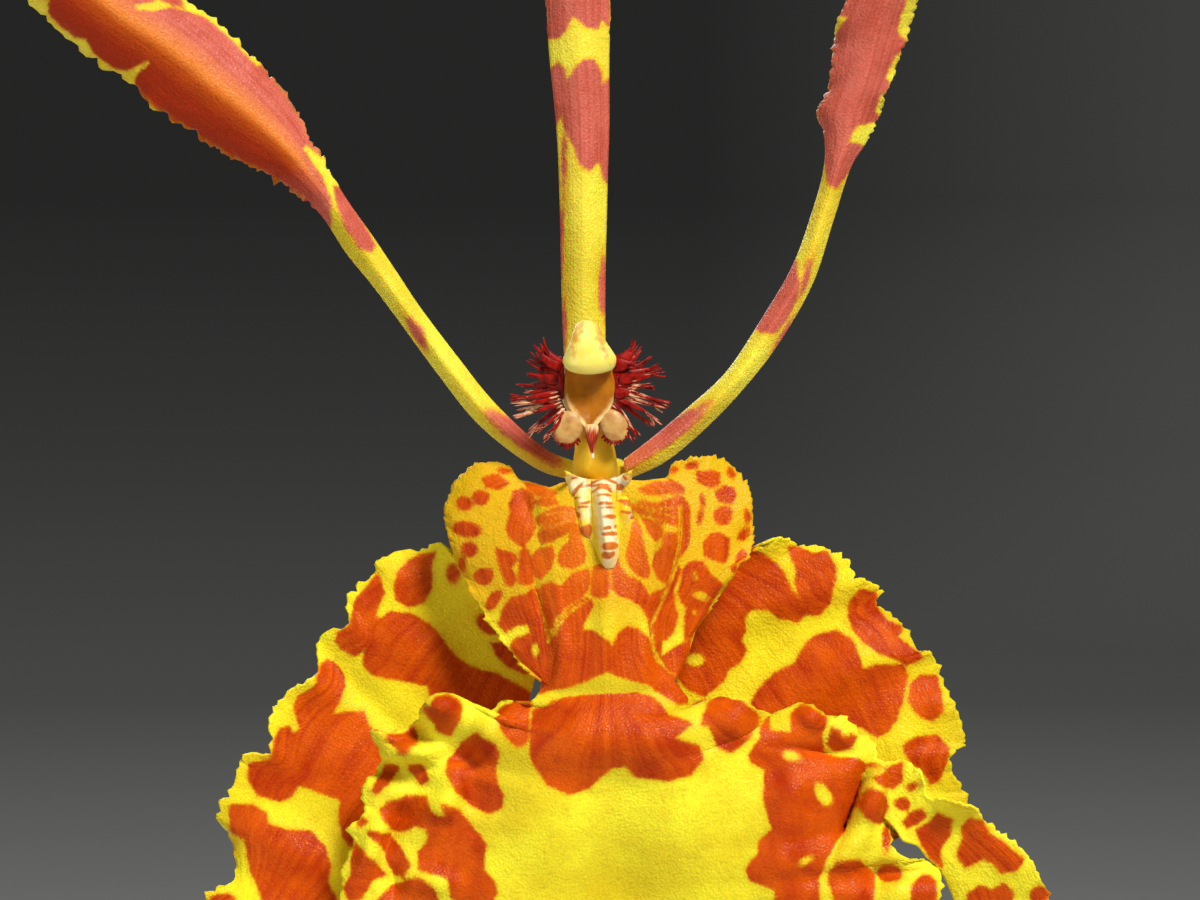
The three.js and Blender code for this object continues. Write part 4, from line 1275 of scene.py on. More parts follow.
def oval_pad(centre, half_width, half_height, turn, thickness):
    """An upright pad whose outline is an oval in the photograph."""

    def place(u, v):
        angle = math.radians(turn)
        across = np.cos(2 * math.pi * u) * np.sin(math.pi * v) * half_width
        up = -np.cos(math.pi * v) * half_height
        deep = np.sin(2 * math.pi * u) * np.sin(math.pi * v) * thickness
        x = centre[0] + across * math.cos(angle) - up * math.sin(angle)
        y = centre[1] + across * math.sin(angle) + up * math.cos(angle)
        spots = np.stack([x, y, centre[2] - deep], axis=1)
        return seen(spots), {"pixel_x": x, "pixel_y": y}

    return place


# %% [markdown]
# The column is the orchid's single fused flower organ. Its foot is a smooth amber pillar. It
# widens into a hood with the stigma, a glossy brown hollow, in front, and two cream lobes
# hang below that hollow. The hollow is a shield-shaped sheet that dips in its middle.

# %% Column
COLUMN_ROUTE = [
    (595, 482, 0.9), (595, 460, -0.2), (594, 440, -0.4), (591, 420, 0.0), (589, 398, 0.4), (588, 372, 0.3),
]
COLUMN_RADII = [1.5, 1.56, 1.5, 1.3, 1.1, 1.3, 1.6, 1.7, 1.6]
# The head bends forward from the pillar's top to carry the anther cap.
HEAD_ROUTE = [(589, 386, -0.1), (588, 368, -0.5), (588, 354, -1.4), (588, 348, -2.9)]
HEAD_RADII = [1.35, 1.4, 1.35, 1.2, 0.9]
STIGMA_EDGE = [
    (366, 589, 26), (374, 589, 28), (384, 590, 29.5), (394, 590, 29), (404, 590, 26.5), (413, 590, 21),
    (421, 590, 13), (429, 590, 5),
]
STIGMA_BROWN_SHARES = [1.15, 1.15, 1.1, 0.9, 0.74, 0.6, 0.42, 0.1]
STIGMA_LIP_BACK = -2.9
STIGMA_DEPTH = 0.4
STIGMA_THICKNESS = 0.35
STIGMA_PILLAR_BACK = -0.3

column_mesh = bmesh.new()
shape = limb(seen(COLUMN_ROUTE), COLUMN_RADII, 0.85, blunt=(0.02, 0.05), marks={"hollow": 0.0})
grow(column_mesh, 48, 110, shape, closed=True)
shape = limb(seen(HEAD_ROUTE), HEAD_RADII, 0.9, blunt=(0.1, 0.1), marks={"hollow": 0.0, "along": 0.7})
grow(column_mesh, 36, 30, shape, closed=True)


def stigma_place(u, v):
    edge = along(STIGMA_EDGE, v)
    across = 2 * u - 1
    share = np.abs(across)
    brown = profile(STIGMA_BROWN_SHARES, v) - share
    hollow = np.clip(1 - share, 0, 1) * np.clip(np.sin(math.pi * v), 0, 1)
    fall = np.clip((share - 0.8) / 0.2, 0, 1) ** 2
    back = STIGMA_LIP_BACK + STIGMA_DEPTH * hollow + (STIGMA_PILLAR_BACK - STIGMA_LIP_BACK) * fall
    back += 0.1 * np.clip((v - 0.8) / 0.2, 0, 1)
    x = edge[:, 1] + across * edge[:, 2]
    marks = {"along": 0.6 + 0 * v, "angle": 0 * v, "hollow": 0.5 + brown}
    return seen(np.stack([x, edge[:, 0], back], axis=1)), marks


stigma_mesh = bmesh.new()
grow(stigma_mesh, 60, 60, stigma_place)
face_camera(stigma_mesh)
bmesh.ops.solidify(stigma_mesh, geom=stigma_mesh.faces, thickness=STIGMA_THICKNESS * MM)
pour(stigma_mesh, column_mesh)
column = finish_mesh(column_mesh, "column")

n = Nodes("column_skin")
amber = n.mix(n.patches(900, 2.0, 0.35, 0.7), (0.86, 0.46, 0.012), (0.94, 0.60, 0.030))
cream = n.mix(n.patches(1400, 2.0, 0.35, 0.65), (0.74, 0.42, 0.11), (0.84, 0.60, 0.26))
skin = n.mix(n.span(n.attribute("along"), 0.40, 0.52), amber, cream)
brown = n.mix(n.patches(1100, 2.0, 0.3, 0.7), (0.35, 0.10, 0.002), (0.47, 0.16, 0.005))
hollow_edge = n.plus(n.attribute("hollow"), n.patches(2400, 2.0, 0.3, 0.7, -0.06, 0.06))
skin = n.mix(n.span(hollow_edge, 0.40, 0.66), skin, brown)
column.data.materials.append(
    n.surface(
        skin, n.patches(2600, 2.0, 0.3, 0.7, 0.32, 0.5), n.bump(n.cells(5200), 0.25, 0.00004),
        Subsurface_Weight=0.2, Subsurface_Scale=0.0008, Specular_IOR_Level=0.15,
    )
)
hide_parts("column")
print("column faces:", len(column.data.polygons))

# %% [markdown]
# Two wings flank the hood. Each is cut into fringes, dark red above and streaked with cream
# below. A fringe is a flat limb that bends once, thins to a hair and forks near its end.

# %% Wings and lobes
# Each fringe is its base, bend and tip in the photograph, its half width in pixels and how
# pale it is.
FRINGES = [
    ((563, 366), (549, 364), (543, 341), 7.5, 0.0), ((562, 368), (545, 364), (537, 346), 5.5, 0.0),
    ((561, 371), (544, 368), (533, 355), 7.0, 0.0), ((561, 376), (545, 374), (530, 363), 6.5, 0.05),
    ((560, 380), (545, 380), (528, 372), 6.0, 0.05), ((559, 384), (542, 386), (519, 385), 6.0, 0.15),
    ((559, 388), (542, 393), (524, 391), 4.0, 0.35), ((559, 392), (538, 397), (508, 399), 3.0, 0.4),
    ((560, 396), (540, 402), (513, 406), 3.0, 0.55), ((561, 399), (541, 405), (518, 411), 2.6, 0.65),
    ((562, 402), (542, 410), (514, 419), 2.6, 0.5), ((563, 405), (546, 415), (526, 435), 3.0, 0.5),
    ((565, 408), (551, 420), (537, 434), 2.6, 0.6), ((566, 412), (555, 426), (546, 442), 3.0, 0.35),
    ((613, 364), (629, 360), (636, 340), 7.5, 0.0), ((614, 366), (634, 362), (642, 349), 7.0, 0.0),
    ((615, 371), (636, 372), (650, 358), 6.5, 0.05), ((616, 376), (640, 374), (659, 365), 6.0, 0.05),
    ((617, 380), (642, 378), (662, 372), 6.0, 0.15), ((617, 385), (640, 387), (655, 386), 5.0, 0.35),
    ((617, 391), (642, 395), (669, 404), 3.4, 0.55), ((617, 395), (640, 402), (667, 409), 3.4, 0.65),
    ((616, 398), (640, 407), (660, 421), 3.0, 0.5), ((615, 401), (636, 412), (651, 428), 3.0, 0.4),
    ((612, 404), (628, 418), (637, 437), 3.0, 0.5), ((610, 408), (624, 426), (633, 443), 2.6, 0.4),
]
for side in (-1, 1):
    for y, width, pale in ((364, 8, 0.0), (373, 10, 0.0), (383, 10, 0.0), (392, 7, 0.3)):
        base = (589 + 25 * side, y)
        FRINGES.append((base, (589 + 34 * side, y + 2), (589 + 47 * side, y - 2), width, pale))
FRINGE_BASE_BACK = -2.7
FRINGE_TIP_BACK = -2.2
HAIR_RADIUS = 0.045
FORKS = 3


def fringe(bm, base, bend, tip, width, pale, back):
    middle = np.array([*bend, back - 0.25])
    ends = np.array([*base, FRINGE_BASE_BACK]), np.array([*tip, back])
    samples = np.linspace(0, 1, 9)[:, None]
    route = (1 - samples) ** 2 * ends[0] + 2 * samples * (1 - samples) * middle + samples**2 * ends[1]
    base_radius = width * PIXEL / MM
    radii = [base_radius, base_radius * 0.95, base_radius * 0.7, base_radius * 0.3, HAIR_RADIUS]
    grow(bm, 8, 14, limb(seen(route), radii, 0.22, blunt=(0.08, 0.08), marks={"pale": pale}), closed=True)
    return route


wing_mesh = bmesh.new()
for base, bend, tip, width, pale in FRINGES:
    back = FRINGE_TIP_BACK + random.uniform(-0.7, 0.7)
    route = fringe(wing_mesh, base, bend, tip, width, pale, back)
    for k in range(FORKS):
        start = route[4 + k]
        away = np.array([random.uniform(-5, 5), random.uniform(-5, 5), random.uniform(-0.4, 0.4)])
        end = route[-1] + away
        middle = (start + end) / 2 + away * 0.1
        radii = [HAIR_RADIUS * 2.2, HAIR_RADIUS * 1.5, HAIR_RADIUS]
        shape = limb(seen([start, middle, end]), radii, 0.6, blunt=(0.1, 0.1), marks={"pale": pale})
        grow(wing_mesh, 6, 8, shape, closed=True)

LOBES = [((568, 428, -2.6), 14.5, 18.5, 24), ((614, 426, -2.6), 14, 17.5, -22)]
LOBE_THICKNESS = 0.45
LOBE_HAIRS = 11
LOBE_HAIR_RADII = [0.14, 0.1, 0.05]
for centre, half_width, half_height, turn in LOBES:
    outward = 1 if centre[0] > FLOWER_PIXEL[0] else -1
    for k in range(LOBE_HAIRS):
        angle = math.radians(90 - outward * (-50 + 130 * k / (LOBE_HAIRS - 1)))
        x = centre[0] + math.cos(angle) * half_width
        y = centre[1] + math.sin(angle) * half_height
        start = (x - math.cos(angle) * 3, y - math.sin(angle) * 3, -2.8)
        tip_x = x + math.cos(angle) * random.uniform(2, 4.5)
        tip = (tip_x, y + math.sin(angle) * random.uniform(2, 4.5), -2.6)
        route = seen([start, np.mean([start, tip], axis=0), tip])
        shape = limb(route, LOBE_HAIR_RADII, 0.7, blunt=(0.15, 0.15), marks={"pale": 0.25})
        grow(wing_mesh, 6, 6, shape, closed=True)
wings = finish_mesh(wing_mesh, "column_wings")

n = Nodes("fringe_skin")
red = n.mix(n.patches(2200, 2.0, 0.35, 0.65), (0.13, 0.002, 0.001), (0.36, 0.007, 0.002))
grain = n.grain()
lengthwise = n.plus(n.noise(1.0, 2.0, n.stretch(grain, (7, 2, 1))), n.noise(700, 2.0))
streak = n.plus(n.attribute("pale"), n.span(lengthwise, 0.7, 1.3, -0.5, 0.34))
pale_skin = n.mix(n.attribute("along"), (0.84, 0.58, 0.30), (0.70, 0.22, 0.13))
skin = n.mix(n.span(streak, 0.42, 0.56), red, pale_skin)
wings.data.materials.append(
    n.surface(
        skin, n.patches(3000, 2.0, 0.3, 0.7, 0.3, 0.5), n.bump(n.noise(6000, 2.0), 0.3, 0.00005),
        Specular_IOR_Level=0.14,
    )
)

lobe_mesh = bmesh.new()
for centre, half_width, half_height, turn in LOBES:
    grow(lobe_mesh, 32, 32, oval_pad(centre, half_width, half_height, turn, LOBE_THICKNESS), closed=True)
lobes = finish_mesh(lobe_mesh, "column_lobes")
LOBE_RED_OVALS = [
    (562, 446, 14, 3.5, 14), (553, 436, 3, 9), (578, 444, 5, 2.5), (620, 443, 13, 3.5, -12), (631, 434, 3, 9),
]
store_ovals(lobes, "bar", *read_spot(lobes), LOBE_RED_OVALS, 1.5)
n = Nodes("lobe_skin")
cream = n.mix(n.patches(1500, 3.0, 0.42, 0.7), (0.60, 0.34, 0.095), (0.43, 0.18, 0.035))
edge = n.plus(n.attribute("bar"), n.patches(3200, 2.0, 0.3, 0.7, -2.5, 2.5))
skin = n.mix(n.span(edge, -1.2, 1.2, 1.0, 0.0), cream, (0.46, 0.03, 0.012))
lobes.data.materials.append(
    n.surface(
        skin, n.patches(3000, 2.0, 0.3, 0.7, 0.35, 0.55), n.bump(n.noise(3800, 3.0), 0.35, 0.0001),
        Subsurface_Weight=0.35, Subsurface_Scale=0.001, Specular_IOR_Level=0.4,
    )
)

ROSTELLUM_ROUTE = [(592, 424, -2.8), (592, 434, -3.0), (592, 446, -2.8), (593, 459, -2.5)]
ROSTELLUM_RADII = [0.42, 0.48, 0.40, 0.26, 0.13, 0.09]
rostellum_mesh = bmesh.new()
shape = limb(seen(ROSTELLUM_ROUTE), ROSTELLUM_RADII, 0.5, blunt=(0.06, 0.05))
grow(rostellum_mesh, 24, 40, shape, closed=True)
rostellum = finish_mesh(rostellum_mesh, "rostellum")
n = Nodes("rostellum_skin")
grain = n.grain()
streaks = n.noise(1.0, 2.0, n.stretch(grain, (26, 2, 1)))
red = n.mix(n.span(streaks, 0.5, 0.64), (0.30, 0.010, 0.003), (0.62, 0.12, 0.03))
mottled = n.plus(n.attribute("along"), n.span(streaks, 0.3, 0.7, -0.14, 0.14))
red = n.mix(n.span(mottled, 0.10, 0.26), (0.80, 0.52, 0.22), red)
skin = n.mix(n.span(n.attribute("along"), 0.80, 0.86), red, (0.95, 0.86, 0.62))
rostellum.data.materials.append(
    n.surface(
        skin, n.patches(3000, 2.0, 0.3, 0.7, 0.35, 0.5), n.bump(n.noise(5000), 0.2, 0.00005),
        Subsurface_Weight=0.1, Subsurface_Scale=0.0004, Specular_IOR_Level=0.2,
    )
)
print("wing faces:", len(wings.data.polygons))

# %% [markdown]
# The anther cap closes the top of the column. It is a smooth waxy helmet with a blunt beak,
# wide and slightly scalloped at its rim.

# %% Anther cap
CAP_ROUTE = [(589, 369, -3.3), (589, 360, -3.6), (588, 348, -3.8), (587, 336, -3.6), (586, 321, -3.1)]
CAP_RADII = [1.62, 1.74, 1.76, 1.58, 1.34, 1.14, 0.98, 0.8, 0.55]
# Painted shade: orange-brown marks down both sides of the cap stand for the shade in its grooves.
CAP_GROOVE_SHADE = [(575, 341, 2.6, 9, 8), (599, 336, 2.4, 9, -14), (603, 350, 1.6, 6, -26), (580, 327, 2, 5)]


def cap_swell(turn, v):
    return 0.035 * np.cos(3 * turn) * np.clip(1 - v * 3, 0, 1) + 0.05 * np.exp(-((v - 0.18) / 0.1) ** 2)


cap_mesh = bmesh.new()
shape = limb(seen(CAP_ROUTE), CAP_RADII, 0.72, blunt=(0.07, 0.1), swell=cap_swell)
grow(cap_mesh, 56, 80, shape, closed=True)
cap = finish_mesh(cap_mesh, "anther_cap")
cap_points = np.array([vert.co for vert in cap.data.vertices])
cap_x = PHOTO_MIDDLE[0] + cap_points[:, 0] / PIXEL
cap_y = PHOTO_MIDDLE[1] + (EYE.z - cap_points[:, 2]) / PIXEL
store_ovals(cap, "bar", cap_x, cap_y, CAP_GROOVE_SHADE, 1.0)
n = Nodes("cap_skin")
wax = n.mix(n.patches(1100, 3.0, 0.35, 0.7), (0.86, 0.70, 0.09), (0.90, 0.78, 0.22))
edge = n.plus(n.attribute("bar"), n.patches(2400, 2.0, 0.3, 0.7, -2.5, 2.5))
# Painted shade: the wax turns orange brown in the groove marks.
wax = n.mix(n.span(edge, -1.5, 2.5, 0.8, 0.0), wax, (0.70, 0.27, 0.04))
cap.data.materials.append(
    n.surface(
        wax, n.patches(2600, 2.0, 0.3, 0.7, 0.35, 0.55), n.bump(n.cells(5600), 0.2, 0.00004),
        Subsurface_Weight=0.3, Subsurface_Scale=0.0010, Specular_IOR_Level=0.2,
    )
)
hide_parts("anther_cap")
print("anther cap faces:", len(cap.data.polygons))

# %% [markdown]
# The pot is a plain thrown terracotta pot. A potter would throw it on a wheel, so its profile
# is spun round the axis, its rims are bevelled, and faint throwing rings are left in the wall.
# Four drain holes are cut through its floor.

# %% Pot
POT_HEIGHT = 106 * MM
POT_FOOT = 42 * MM
POT_WALL_TOP = 56 * MM
POT_RIM = 60.5 * MM
POT_RIM_FOOT = 84 * MM
POT_WALL = 5 * MM
POT_FLOOR = 7 * MM
POT_STEPS = 128
HOLE_RADIUS = 4.5 * MM
HOLE_CIRCLE = 24 * MM
THROWING_RINGS = 26
RING_DEPTH = 0.12 * MM
SHARP_ANGLE = math.radians(28)
RIM_BEVEL = 0.7 * MM


def pot_outer(z):
    return POT_FOOT + (POT_WALL_TOP - POT_FOOT) * z / POT_HEIGHT


def pot_inner(z):
    return pot_outer(z) - POT_WALL


def spun(profile_points, steps):
    """A body turned from a profile of (radius, height) that starts and ends on the axis."""
    bm = bmesh.new()
    verts = [bm.verts.new((radius, 0, z)) for radius, z in profile_points]
    edges = [bm.edges.new(pair) for pair in zip(verts, verts[1:])]
    bmesh.ops.spin(
        bm, geom=verts + edges, cent=(0, 0, 0), axis=(0, 0, 1), angle=2 * math.pi, steps=steps,
        use_merge=True,
    )
    bmesh.ops.remove_doubles(bm, verts=bm.verts, dist=0.01 * MM)
    bmesh.ops.recalc_face_normals(bm, faces=bm.faces)
    return bm


pot_profile = [(0, 0), (POT_FOOT - 0.2 * MM, 0)]
for k in range(THROWING_RINGS * 2 + 1):
    z = 0.8 * MM + (POT_RIM_FOOT - 0.8 * MM) * k / (THROWING_RINGS * 2)
    pot_profile.append((pot_outer(z) - (k % 2) * RING_DEPTH, z))
pot_profile += [(POT_RIM - 0.8 * MM, POT_RIM_FOOT), (POT_RIM - 0.3 * MM, POT_RIM_FOOT + 7 * MM)]
pot_profile += [(POT_RIM - 0.1 * MM, POT_HEIGHT - 7 * MM), (POT_RIM, POT_HEIGHT - 1.5 * MM)]
pot_profile += [(POT_RIM - 1.8 * MM, POT_HEIGHT), (pot_inner(POT_HEIGHT) + 1.2 * MM, POT_HEIGHT)]
pot_profile += [
    (pot_inner(POT_HEIGHT) - 0.1 * MM, POT_HEIGHT - 1.6 * MM), (pot_inner(POT_FLOOR), POT_FLOOR)
]
pot_profile += [(0, POT_FLOOR)]
pot_mesh = spun(pot_profile, POT_STEPS)
walls = [edge for edge in pot_mesh.edges if len(edge.link_faces) == 2]
sharp = [edge for edge in walls if edge.calc_face_angle() > SHARP_ANGLE]
bmesh.ops.bevel(
    pot_mesh, geom=sharp, offset=RIM_BEVEL, offset_type="OFFSET", affect="EDGES", segments=3, profile=0.5,
    material=-1,
)
pot = finish_mesh(pot_mesh, "pot")

drill_mesh = bmesh.new()
for k in range(4):
    angle = math.radians(45 + 90 * k)
    centre = (HOLE_CIRCLE * math.cos(angle), HOLE_CIRCLE * math.sin(angle), POT_FLOOR / 2)
    place = Matrix.Translation(centre)
    bmesh.ops.create_cone(
        drill_mesh, cap_ends=True, segments=32, radius1=HOLE_RADIUS, radius2=HOLE_RADIUS,
        depth=POT_FLOOR * 3, matrix=place,
    )
drill_data = bpy.data.meshes.new("drill")
drill_mesh.to_mesh(drill_data)
drill_mesh.free()
drill = bpy.data.objects.new("drill", drill_data)
bpy.context.collection.objects.link(drill)
cut = pot.modifiers.new("drain holes", "BOOLEAN")
cut.operation = "DIFFERENCE"
cut.solver = "EXACT"
cut.object = drill
drilled = bpy.data.meshes.new_from_object(pot.evaluated_get(bpy.context.evaluated_depsgraph_get()))
pot.modifiers.clear()
pot.data = drilled
bpy.data.objects.remove(drill)

n = Nodes("terracotta")
clay = n.mix(n.patches(14, 4.0, 0.35, 0.7), (0.42, 0.145, 0.065), (0.55, 0.225, 0.115))
clay = n.mix(n.patches(420, 3.0, 0.45, 0.75), clay, (0.33, 0.11, 0.05))
up = n.axes(n.object)["Z"]
wander = n.times(n.noise(30, 4.0), 0.05)
damp = n.span(n.plus(up, wander), 0.075, 0.095)
clay = n.mix(damp, n.mix(1.0, clay, (0.80, 0.74, 0.70), "MULTIPLY"), clay)
bloom = n.times(
    n.span(n.noise(46, 5.0, roughness=0.7), 0.52, 0.72),
    n.span(n.plus(up, wander), 0.11, 0.03, 0.0, 0.7),
)
clay = n.mix(bloom, clay, (0.70, 0.62, 0.54))
moss = n.times(n.span(n.noise(60, 5.0, roughness=0.7), 0.55, 0.7), n.span(up, 0.03, 0.0, 0.0, 0.6))
clay = n.mix(moss, clay, (0.16, 0.17, 0.06))
pits = n.bump(n.cells(900), 0.25, 0.0003)
pot.data.materials.clear()
pot.data.materials.append(
    n.surface(
        clay, n.patches(300, 2.0, 0.3, 0.7, 0.75, 0.92), n.bump(n.noise(180, 4.0), 0.35, 0.0005, pits),
        Specular_IOR_Level=0.25,
    )
)
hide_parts("pot")
print("pot faces:", len(pot.data.polygons))

# %% [markdown]
# Orchids grow in coarse bark. The medium is a lumpy core with a heap of loose chips on top.
# One chip is a bevelled block that is bent a little out of shape. It is laid down many times,
# each time turned, tilted and scaled by seeded chance.

# %% Bark
MEDIUM_FOOT = 7.3 * MM
MEDIUM_TOP = 90 * MM
MEDIUM_GAP = 0.35 * MM
CHIPS = 430
CHIP_REACH = 42.5 * MM
CHIP_LOW = 88.5 * MM
CHIP_HIGH = 93.6 * MM

bark_mesh = bmesh.new()
core_profile = [(0, MEDIUM_FOOT)]
core_profile += [(pot_inner(z) - MEDIUM_GAP, z) for z in np.linspace(MEDIUM_FOOT, MEDIUM_TOP - 2 * MM, 6)]
core_profile += [
    (pot_inner(MEDIUM_TOP) * share, MEDIUM_TOP + 1.2 * MM * (1 - share)) for share in (0.9, 0.7, 0.5, 0.25)
]
core_profile += [(0, MEDIUM_TOP + 1.2 * MM)]
core = spun(core_profile, 64)
core.verts.layers.float.new("tone")
core.verts.layers.float.new("layer")
pour(core, bark_mesh)
tone = bark_mesh.verts.layers.float["tone"]
layer = bark_mesh.verts.layers.float["layer"]


def add_chip(bm, centre, size, turn, tilt, value):
    """Adds one chip of bark: a bevelled block whose corners are knocked about."""
    made = bmesh.ops.create_cube(bm, size=1.0)
    verts = made["verts"]
    edges = list(dict.fromkeys(edge for vert in verts for edge in vert.link_edges))
    rounded = bmesh.ops.bevel(
        bm, geom=edges, offset=0.16, offset_type="OFFSET", affect="EDGES", segments=1, profile=0.5,
        material=-1,
    )
    verts = list(dict.fromkeys(vert for face in rounded["faces"] for vert in face.verts))
    place = Matrix.Translation(centre) @ Matrix.Rotation(turn, 4, "Z") @ Matrix.Rotation(tilt[0], 4, "X")
    place = place @ Matrix.Rotation(tilt[1], 4, "Y")
    for vert in verts:
        shift = noise.noise_vector(vert.co * 1.7 + Vector((value * 90, 0, 0)))
        local = vert.co + shift * 0.22
        local.z += 0.5 * local.x * local.x
        vert[tone] = value
        vert[layer] = local.z
        vert.co = place @ Vector((local.x * size[0], local.y * size[1], local.z * size[2]))


for k in range(CHIPS):
    reach = CHIP_REACH * math.sqrt(random.random())
    around = random.uniform(0, 2 * math.pi)
    size = (random.uniform(7, 14) * MM, random.uniform(4.5, 8.5) * MM, random.uniform(1.8, 3.6) * MM)
    centre = (reach * math.cos(around), reach * math.sin(around), random.uniform(CHIP_LOW, CHIP_HIGH))
    tilt = (random.gauss(0, 0.32), random.gauss(0, 0.32))
    add_chip(bark_mesh, centre, size, random.uniform(0, 2 * math.pi), tilt, random.random())
bmesh.ops.recalc_face_normals(bark_mesh, faces=bark_mesh.faces)
bark = finish_mesh(bark_mesh, "bark_medium")
bark.data.shade_flat()

n = Nodes("bark")
tone = n.attribute("tone")
brown = n.mix(tone, (0.085, 0.034, 0.016), (0.23, 0.105, 0.05))
brown = n.mix(n.span(n.noise(160, 4.0, roughness=0.65), 0.4, 0.7), brown, (0.045, 0.02, 0.012))
depth = n.times(n.attribute("layer"), 9.0)
layers = n.noise(1.0, 2.0, n.add("ShaderNodeCombineXYZ", tone, depth).outputs[0])
brown = n.mix(n.span(layers, 0.52, 0.6), brown, (0.30, 0.16, 0.085))
dust = n.times(n.patches(500, 4.0, 0.55, 0.75), n.span(tone, 0.4, 1.0, 0.0, 0.6))
brown = n.mix(dust, brown, (0.36, 0.30, 0.24))
flakes = n.bump(n.cells(420), 0.6, 0.0008)
bark.data.materials.append(
    n.surface(
        brown, n.patches(260, 2.0, 0.3, 0.7, 0.75, 0.95),
        n.bump(n.noise(700, 4.0), 0.7, 0.0006, flakes), Specular_IOR_Level=0.25,
    )
)
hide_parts("bark_medium")
print("bark faces:", len(bark.data.polygons))

# %% [markdown]
# The rhizome creeps over the bark and carries a row of growths. Each growth is a flattened
# pseudobulb, which stores water, with one stiff leaf on top. Their places, leans and sizes
# repeat those of the solid model.

# %% Growths
GROWTHS = [
    {"place": (-29, 4), "turn": 18, "height": 31, "leaf": 112, "half": 21, "lean": (-30, 10)},
    {"place": (-14.5, -8), "turn": -14, "height": 34, "leaf": 128, "half": 23, "lean": (-14, -17)},
    {"place": (0, 5.5), "turn": 10, "height": 37, "leaf": 142, "half": 25, "lean": (-3, 15)},
    {"place": (15, -7.5), "turn": -16, "height": 39, "leaf": 150, "half": 26, "lean": (11, -16)},
    {"place": (29.5, 4), "turn": 12, "height": 36, "leaf": 132, "half": 24, "lean": (29, 12)},
]
RHIZOME_HEIGHT = 97.3
RHIZOME_RADII = [2.6, 3.0, 3.0, 3.0, 2.6]
BULB_FOOT = 100.6
BULB_HALF_WIDTH = 11.5
BULB_HALF_DEPTH = 6.8
BULB_OUTLINE = [0.5, 0.86, 1.0, 0.97, 0.82, 0.58, 0.3]


def in_mm(points):
    return np.asarray(points, dtype=float) * MM


def rhizome_swell(turn, v):
    rings = np.clip(np.cos(v * 2 * math.pi * 17), 0.7, 1) - 0.7
    return 0.35 * rings + 0.05 * smooth_noise(v * 40, np.cos(turn), 3)


places = [growth["place"] for growth in GROWTHS]
oldest = (places[0][0] - 6, places[0][1] + 1)
newest = (places[-1][0] + 6, places[-1][1] + 1)
route = in_mm([(x, y, RHIZOME_HEIGHT) for x, y in (oldest, *places, newest)])
rhizome_mesh = bmesh.new()
shape = limb(route, RHIZOME_RADII, 0.95, (0, 0, 1), swell=rhizome_swell)
grow(rhizome_mesh, 28, 260, shape, closed=True)
rhizome = finish_mesh(rhizome_mesh, "rhizome")
n = Nodes("rhizome_skin")
grain = n.grain()
fibres = n.noise(1.0, 4.0, n.stretch(grain, (14, 60, 1)))
husk = n.mix(n.span(fibres, 0.35, 0.65), (0.12, 0.065, 0.03), (0.36, 0.23, 0.12))
husk = n.mix(n.patches(160, 3.0, 0.55, 0.7), husk, (0.17, 0.18, 0.06))
rhizome.data.materials.append(
    n.surface(husk, n.span(fibres, 0.3, 0.7, 0.6, 0.85), n.bump(fibres, 0.7, 0.0005))
)
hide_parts("rhizome")

# %% [markdown]
# A pseudobulb is a closed limb with a broad oval section. Older ones shrivel a little, which
# the swell function does with long wrinkles that fade towards both ends.

# %% Pseudobulbs
n = Nodes("pseudobulb_skin")
grain = n.grain()
streaks = n.noise(1.0, 4.0, n.stretch(grain, (26, 3, 1)))
skin = n.mix(n.patches(90, 3.0, 0.35, 0.7), (0.085, 0.125, 0.022), (0.17, 0.21, 0.045))
skin = n.mix(n.span(streaks, 0.45, 0.75), skin, (0.26, 0.28, 0.08))
flecks = n.times(n.span(n.noise(420, 3.0, roughness=0.6), 0.5, 0.6), n.patches(60, 3.0, 0.35, 0.6))
skin = n.mix(flecks, skin, (0.15, 0.035, 0.028))
scar = n.patches(900, 2.0, 0.66, 0.72, 0.0, 0.5)
skin = n.mix(scar, skin, (0.42, 0.36, 0.22))
bulb_skin = n.surface(
    skin, n.patches(240, 2.0, 0.3, 0.7, 0.32, 0.55),
    n.bump(n.noise(1400, 2.0), 0.2, 0.0002, n.bump(streaks, 0.4, 0.0006)),
    Specular_IOR_Level=0.4, Subsurface_Weight=0.08, Subsurface_Scale=0.002,
)


def wrinkles(age, seed):
    def swell(turn, v):
        fade = np.sin(math.pi * np.clip(v, 0, 1)) ** 0.8
        ridges = np.array(
            [noise.noise(Vector((3 * math.cos(a), 3 * math.sin(a), seed + h * 0.8))) for a, h in zip(turn, v)]
        )
        creases = -np.abs(ridges) ** 0.7
        return fade * (0.10 * age * creases + 0.05 * ridges)

    return swell


def turned(points, growth, foot):
    """Turns points about the growth's upright axis and stands them at its place."""
    angle = math.radians(growth["turn"])
    x = points[:, 0] * math.cos(angle) - points[:, 1] * math.sin(angle)
    y = points[:, 0] * math.sin(angle) + points[:, 1] * math.cos(angle)
    at = np.array([*growth["place"], foot]) * MM
    return np.stack([x, y, points[:, 2]], axis=1) + at


for number, growth in enumerate(GROWTHS, 1):
    height = growth["height"]
    upright = in_mm([(0, 0, 0), (0, 0, height / 2), (0, 0, height)])
    radii = [BULB_HALF_WIDTH * share for share in BULB_OUTLINE]
    flat = BULB_HALF_DEPTH / BULB_HALF_WIDTH
    age = 1.4 - 0.25 * number
    body = limb(upright, radii, flat, (0, -1, 0), (0.05, 0.03), wrinkles(age, number * 7.0))

    def bulb_place(u, v):
        points, marks = body(u, v)
        return turned(points, growth, BULB_FOOT), marks

    bulb_mesh = bmesh.new()
    grow(bulb_mesh, 96, 90, bulb_place, closed=True)
    bulb = finish_mesh(bulb_mesh, f"pseudobulb_{number}")
    bulb.data.materials.append(bulb_skin)
    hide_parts(f"pseudobulb_{number}")
print("pseudobulbs:", len(GROWTHS))

